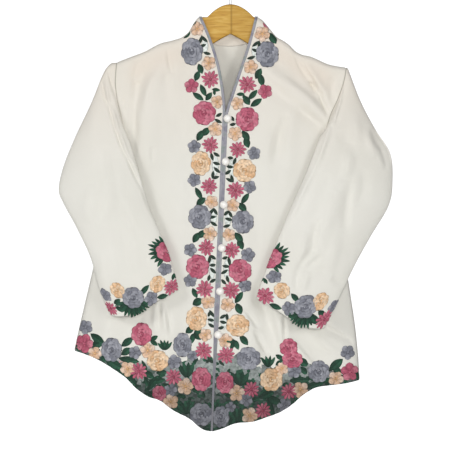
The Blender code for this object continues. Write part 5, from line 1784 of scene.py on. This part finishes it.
# %% Wooden arms
HANGER_THICK = 12.0
HANGER_CROWN_Z, HANGER_DOME = -75.0, 0.0134
HANGER_UNDER_CLOTH = 1.6
HANGER_ENDS = (-196.0, 199.0)
HANGER_UNDERSIDE = table(
    "from_middle z",
    (0, -128.5), (18, -138.0), (32, -146.5), (50, -158.0), (80, -174.0), (140, -196.0),
    (200, -212.0),
)
JOINT_X = 1.4  # where the two arms are glued
GROOVE, GROOVE_HALF = 0.06, 0.8  # the joint's slight groove
JOINT_SHADE, JOINT_HALF, ARM_SHADE = 0.75, 1.3, 0.14  # one arm is a little darker
# Painted shade: the wood darkens by this share on the arms' top and bottom faces.
TOP_BOTTOM_PAINTED_SHADE, EDGE_FROM = 0.7, 0.97
END_FROM, END_LENGTH = 190.0, 9.5  # the rounded ends
ARM_SQUARE = 5  # n of the sections
ARM_SECTIONS, ARM_ROUND = 260, 36


def arm_points():
    """Rounded-box sections along x, sign(cos a) |cos a|^(2/n) across and the same of sin a up,
    with how dark the wood is at the glue line between the arms, and the painted shade on its top
    and bottom faces."""
    x = np.linspace(*HANGER_ENDS, ARM_SECTIONS)
    slope = (shoulder_z(x + 1) - shoulder_z(x - 1)) / 2
    under_cloth = shoulder_z(x) - HANGER_UNDER_CLOTH * (1 + slope**2)
    top = np.maximum(HANGER_CROWN_Z - HANGER_DOME * x**2, under_cloth)
    under = np.interp(np.abs(x), HANGER_UNDERSIDE["from_middle"], HANGER_UNDERSIDE["z"])
    turn = np.linspace(0, 2 * math.pi, ARM_ROUND, endpoint=False)
    wide, high = (np.sign(f(turn)) * np.abs(f(turn)) ** (2 / ARM_SQUARE) for f in (np.cos, np.sin))
    groove = 1 - GROOVE * np.exp(-(((x - JOINT_X) / GROOVE_HALF) ** 2))
    middle, half = (top + under) / 2, (top - under) / 2
    past = ((np.abs(x) - END_FROM) / END_LENGTH) ** 2 * (np.abs(x) > END_FROM)
    round_end = np.sqrt(np.clip(1 - past, 0.05, 1))
    y = wide[None] * (HANGER_THICK / 2 * groove * round_end)[:, None]
    z = middle[:, None] + high[None] * (half * round_end)[:, None]
    at_joint = JOINT_SHADE * np.exp(-(((x - JOINT_X) / JOINT_HALF) ** 2))
    at_joint = at_joint + ARM_SHADE * (x > JOINT_X)
    # painted shade on the faces that turn up and down
    painted_face_shade = TOP_BOTTOM_PAINTED_SHADE * (np.abs(high) > EDGE_FROM)
    points = np.stack([np.broadcast_to(x[:, None], z.shape), y, z], -1)
    return points, np.maximum(at_joint[:, None], painted_face_shade)


beech = beech_material()
points, joint = arm_points()
mesh = grid_mesh("hanger_arms", points, ring=True, caps=True, attributes=[("joint", joint)])
finish_piece("hanger_arms", mesh, beech, ("hanger",))

# %% Hook
HOOK_WIRE, HOOK_INSIDE_RADIUS = 3.6, 18.0
HOOK_PATH = (  # x, z of the wire's middle below its round part
    (0.0, HANGER_CROWN_Z - 1.0),
    (0.0, HANGER_CROWN_Z + 7.0), (0.0, -60.0), (0.8, -54.0), (3.0, -48.0), (6.4, -42.5),
    (10.2, -37.6),
)
HOOK_TURN = (-48.0, 205.0)  # degrees
HOOK_RINGS, STEM_RINGS, HOOK_ROUND = 90, 40, 20
TIP_RINGS, TIP_LEAST = 3, 0.05  # the wire's end is rounded over its last rings


def smooth_path(knots, count):
    """The smooth curve through a few points, evenly spaced by their distances."""
    knots = np.array(knots, float)
    at = np.concatenate([[0], np.linalg.norm(np.diff(knots, axis=0), axis=-1).cumsum()])
    fine = np.linspace(0, at[-1], count)
    return np.stack([through(fine, at, knots[:, i]) for i in range(knots.shape[1])], -1)


radius = HOOK_INSIDE_RADIUS + HOOK_WIRE / 2
turn = np.radians(np.linspace(*HOOK_TURN, HOOK_RINGS))
round_part = np.stack([radius * np.cos(turn), radius * np.sin(turn) - HOOK_INSIDE_RADIUS], -1)
flat_path = np.concatenate([smooth_path(HOOK_PATH, STEM_RINGS)[:-1], round_part])
path = np.stack([flat_path[:, 0], 0 * flat_path[:, 0], flat_path[:, 1]], -1)
tip = np.sqrt(np.clip(np.linspace(len(path) - 1, 0, len(path)) / TIP_RINGS, TIP_LEAST, 1))
points = tube(path, HOOK_WIRE / 2 * tip, sides=HOOK_ROUND)
mesh = grid_mesh("hook_wire", points[:, ::-1], ring=True, caps=True)
finish_piece("hook_wire", mesh, steel_material(), ("hook",))
print("hanger:", HANGER_ENDS[1] - HANGER_ENDS[0], "mm across, hook wire", HOOK_WIRE, "mm")

# %% [markdown]
# ## Floor and light
# A pale floor far below and a large white surround keep the picture plain. The surround is seen by
# the camera alone. A soft light from the upper left draws the folds. A stronger one beside the
# camera reaches down into the neckline, a weak one from the right fills the far sleeve, and the
# world's even light does the rest. The strongest stands behind, for the views from there.

# %% Floor, surround and lights
FLOOR_Z = -1.25
FLOOR_HALF, SURROUND_RADIUS = 3000.0, 18000.0  # mm
FLOOR_TONE, SURROUND_TONE, WORLD_TONE = "#F4F3F0", "#FFFFFF", "#F6F8FB"
WORLD_STRENGTH = 0.2
LIGHTS = {  # place, size in metres, watts
    "key_light": ((-4.4, -3.8, 2.2), 1.7, 111.0),
    "front_light": ((0.1, -6.6, 0.0), 1.2, 162.0),
    "fill_light": ((3.6, -5.0, 0.9), 1.6, 74.0),
    "rear_light": ((-1.6, 6.0, 1.4), 1.6, 190.0),
}


def stage_material(name, hex_colour, glow=0.0):
    made, _, shader = new_material(name, Roughness=0.95)
    shader.inputs["Base Color"].default_value = rgba(hex_colour)
    if glow:
        shader.inputs["Emission Color"].default_value = rgba(hex_colour)
        shader.inputs["Emission Strength"].default_value = glow
    return made


def staged(name, mesh, material):
    mesh.materials.append(material)
    made = bpy.data.objects.new(name, mesh)
    bpy.context.scene.collection.objects.link(made)
    return made


ends = (-FLOOR_HALF, FLOOR_HALF)
square = np.array([[(x, y, FLOOR_Z / MM) for x in ends] for y in ends])
staged("floor", grid_mesh("floor", square), stage_material("matt_floor", FLOOR_TONE))

turn, rise = np.meshgrid(np.linspace(0, 2 * math.pi, 64, endpoint=False),
                         np.linspace(-math.pi / 2, math.pi / 2, 32))
surround = SURROUND_RADIUS * np.stack([np.cos(rise) * np.cos(turn), np.cos(rise) * np.sin(turn),
                                       np.sin(rise)], -1)
dome = staged("white_surround", grid_mesh("white_surround", surround, ring=True),
              stage_material("white_glow", SURROUND_TONE, 1.0))
dome.visible_diffuse = dome.visible_glossy = dome.visible_transmission = False
dome.visible_shadow = dome.visible_volume_scatter = False

world = bpy.data.worlds.new("even_light")
world.use_nodes = True
background = world.node_tree.nodes["Background"]
background.inputs["Color"].default_value = rgba(WORLD_TONE)
background.inputs["Strength"].default_value = WORLD_STRENGTH
bpy.context.scene.world = world
bpy.context.scene.view_settings.view_transform = "Standard"


def soft_light(name, place, size, power):
    """A square lamp that faces the middle of the blouse."""
    lamp = bpy.data.lights.new(name, "AREA")
    lamp.shape, lamp.size, lamp.energy = "SQUARE", size, power
    made = bpy.data.objects.new(name, lamp)
    made.location = place
    aim = np.array([VIEW_CENTRE[0], 0, VIEW_CENTRE[1]]) - np.array(place)
    from_up = math.atan2(math.hypot(aim[0], aim[1]), -aim[2])
    made.rotation_euler = (from_up, 0, math.atan2(aim[1], aim[0]) - math.pi / 2)
    bpy.context.scene.collection.objects.link(made)


for name, (place, size, power) in LIGHTS.items():
    soft_light(name, place, size, power)
    print(f"{name}: {power:g} W")
print("world:", WORLD_STRENGTH)

# %% [markdown]
# ## Cut of the cloth, and the end
# Each panel's flat cut and area are printed where it is made. The cloth isn't stretched, so its
# cut has the same area as the surface that hangs here. The last line works out the facing's
# points once more and keeps nothing.


facing_points(0.0, FACING_DOWN)
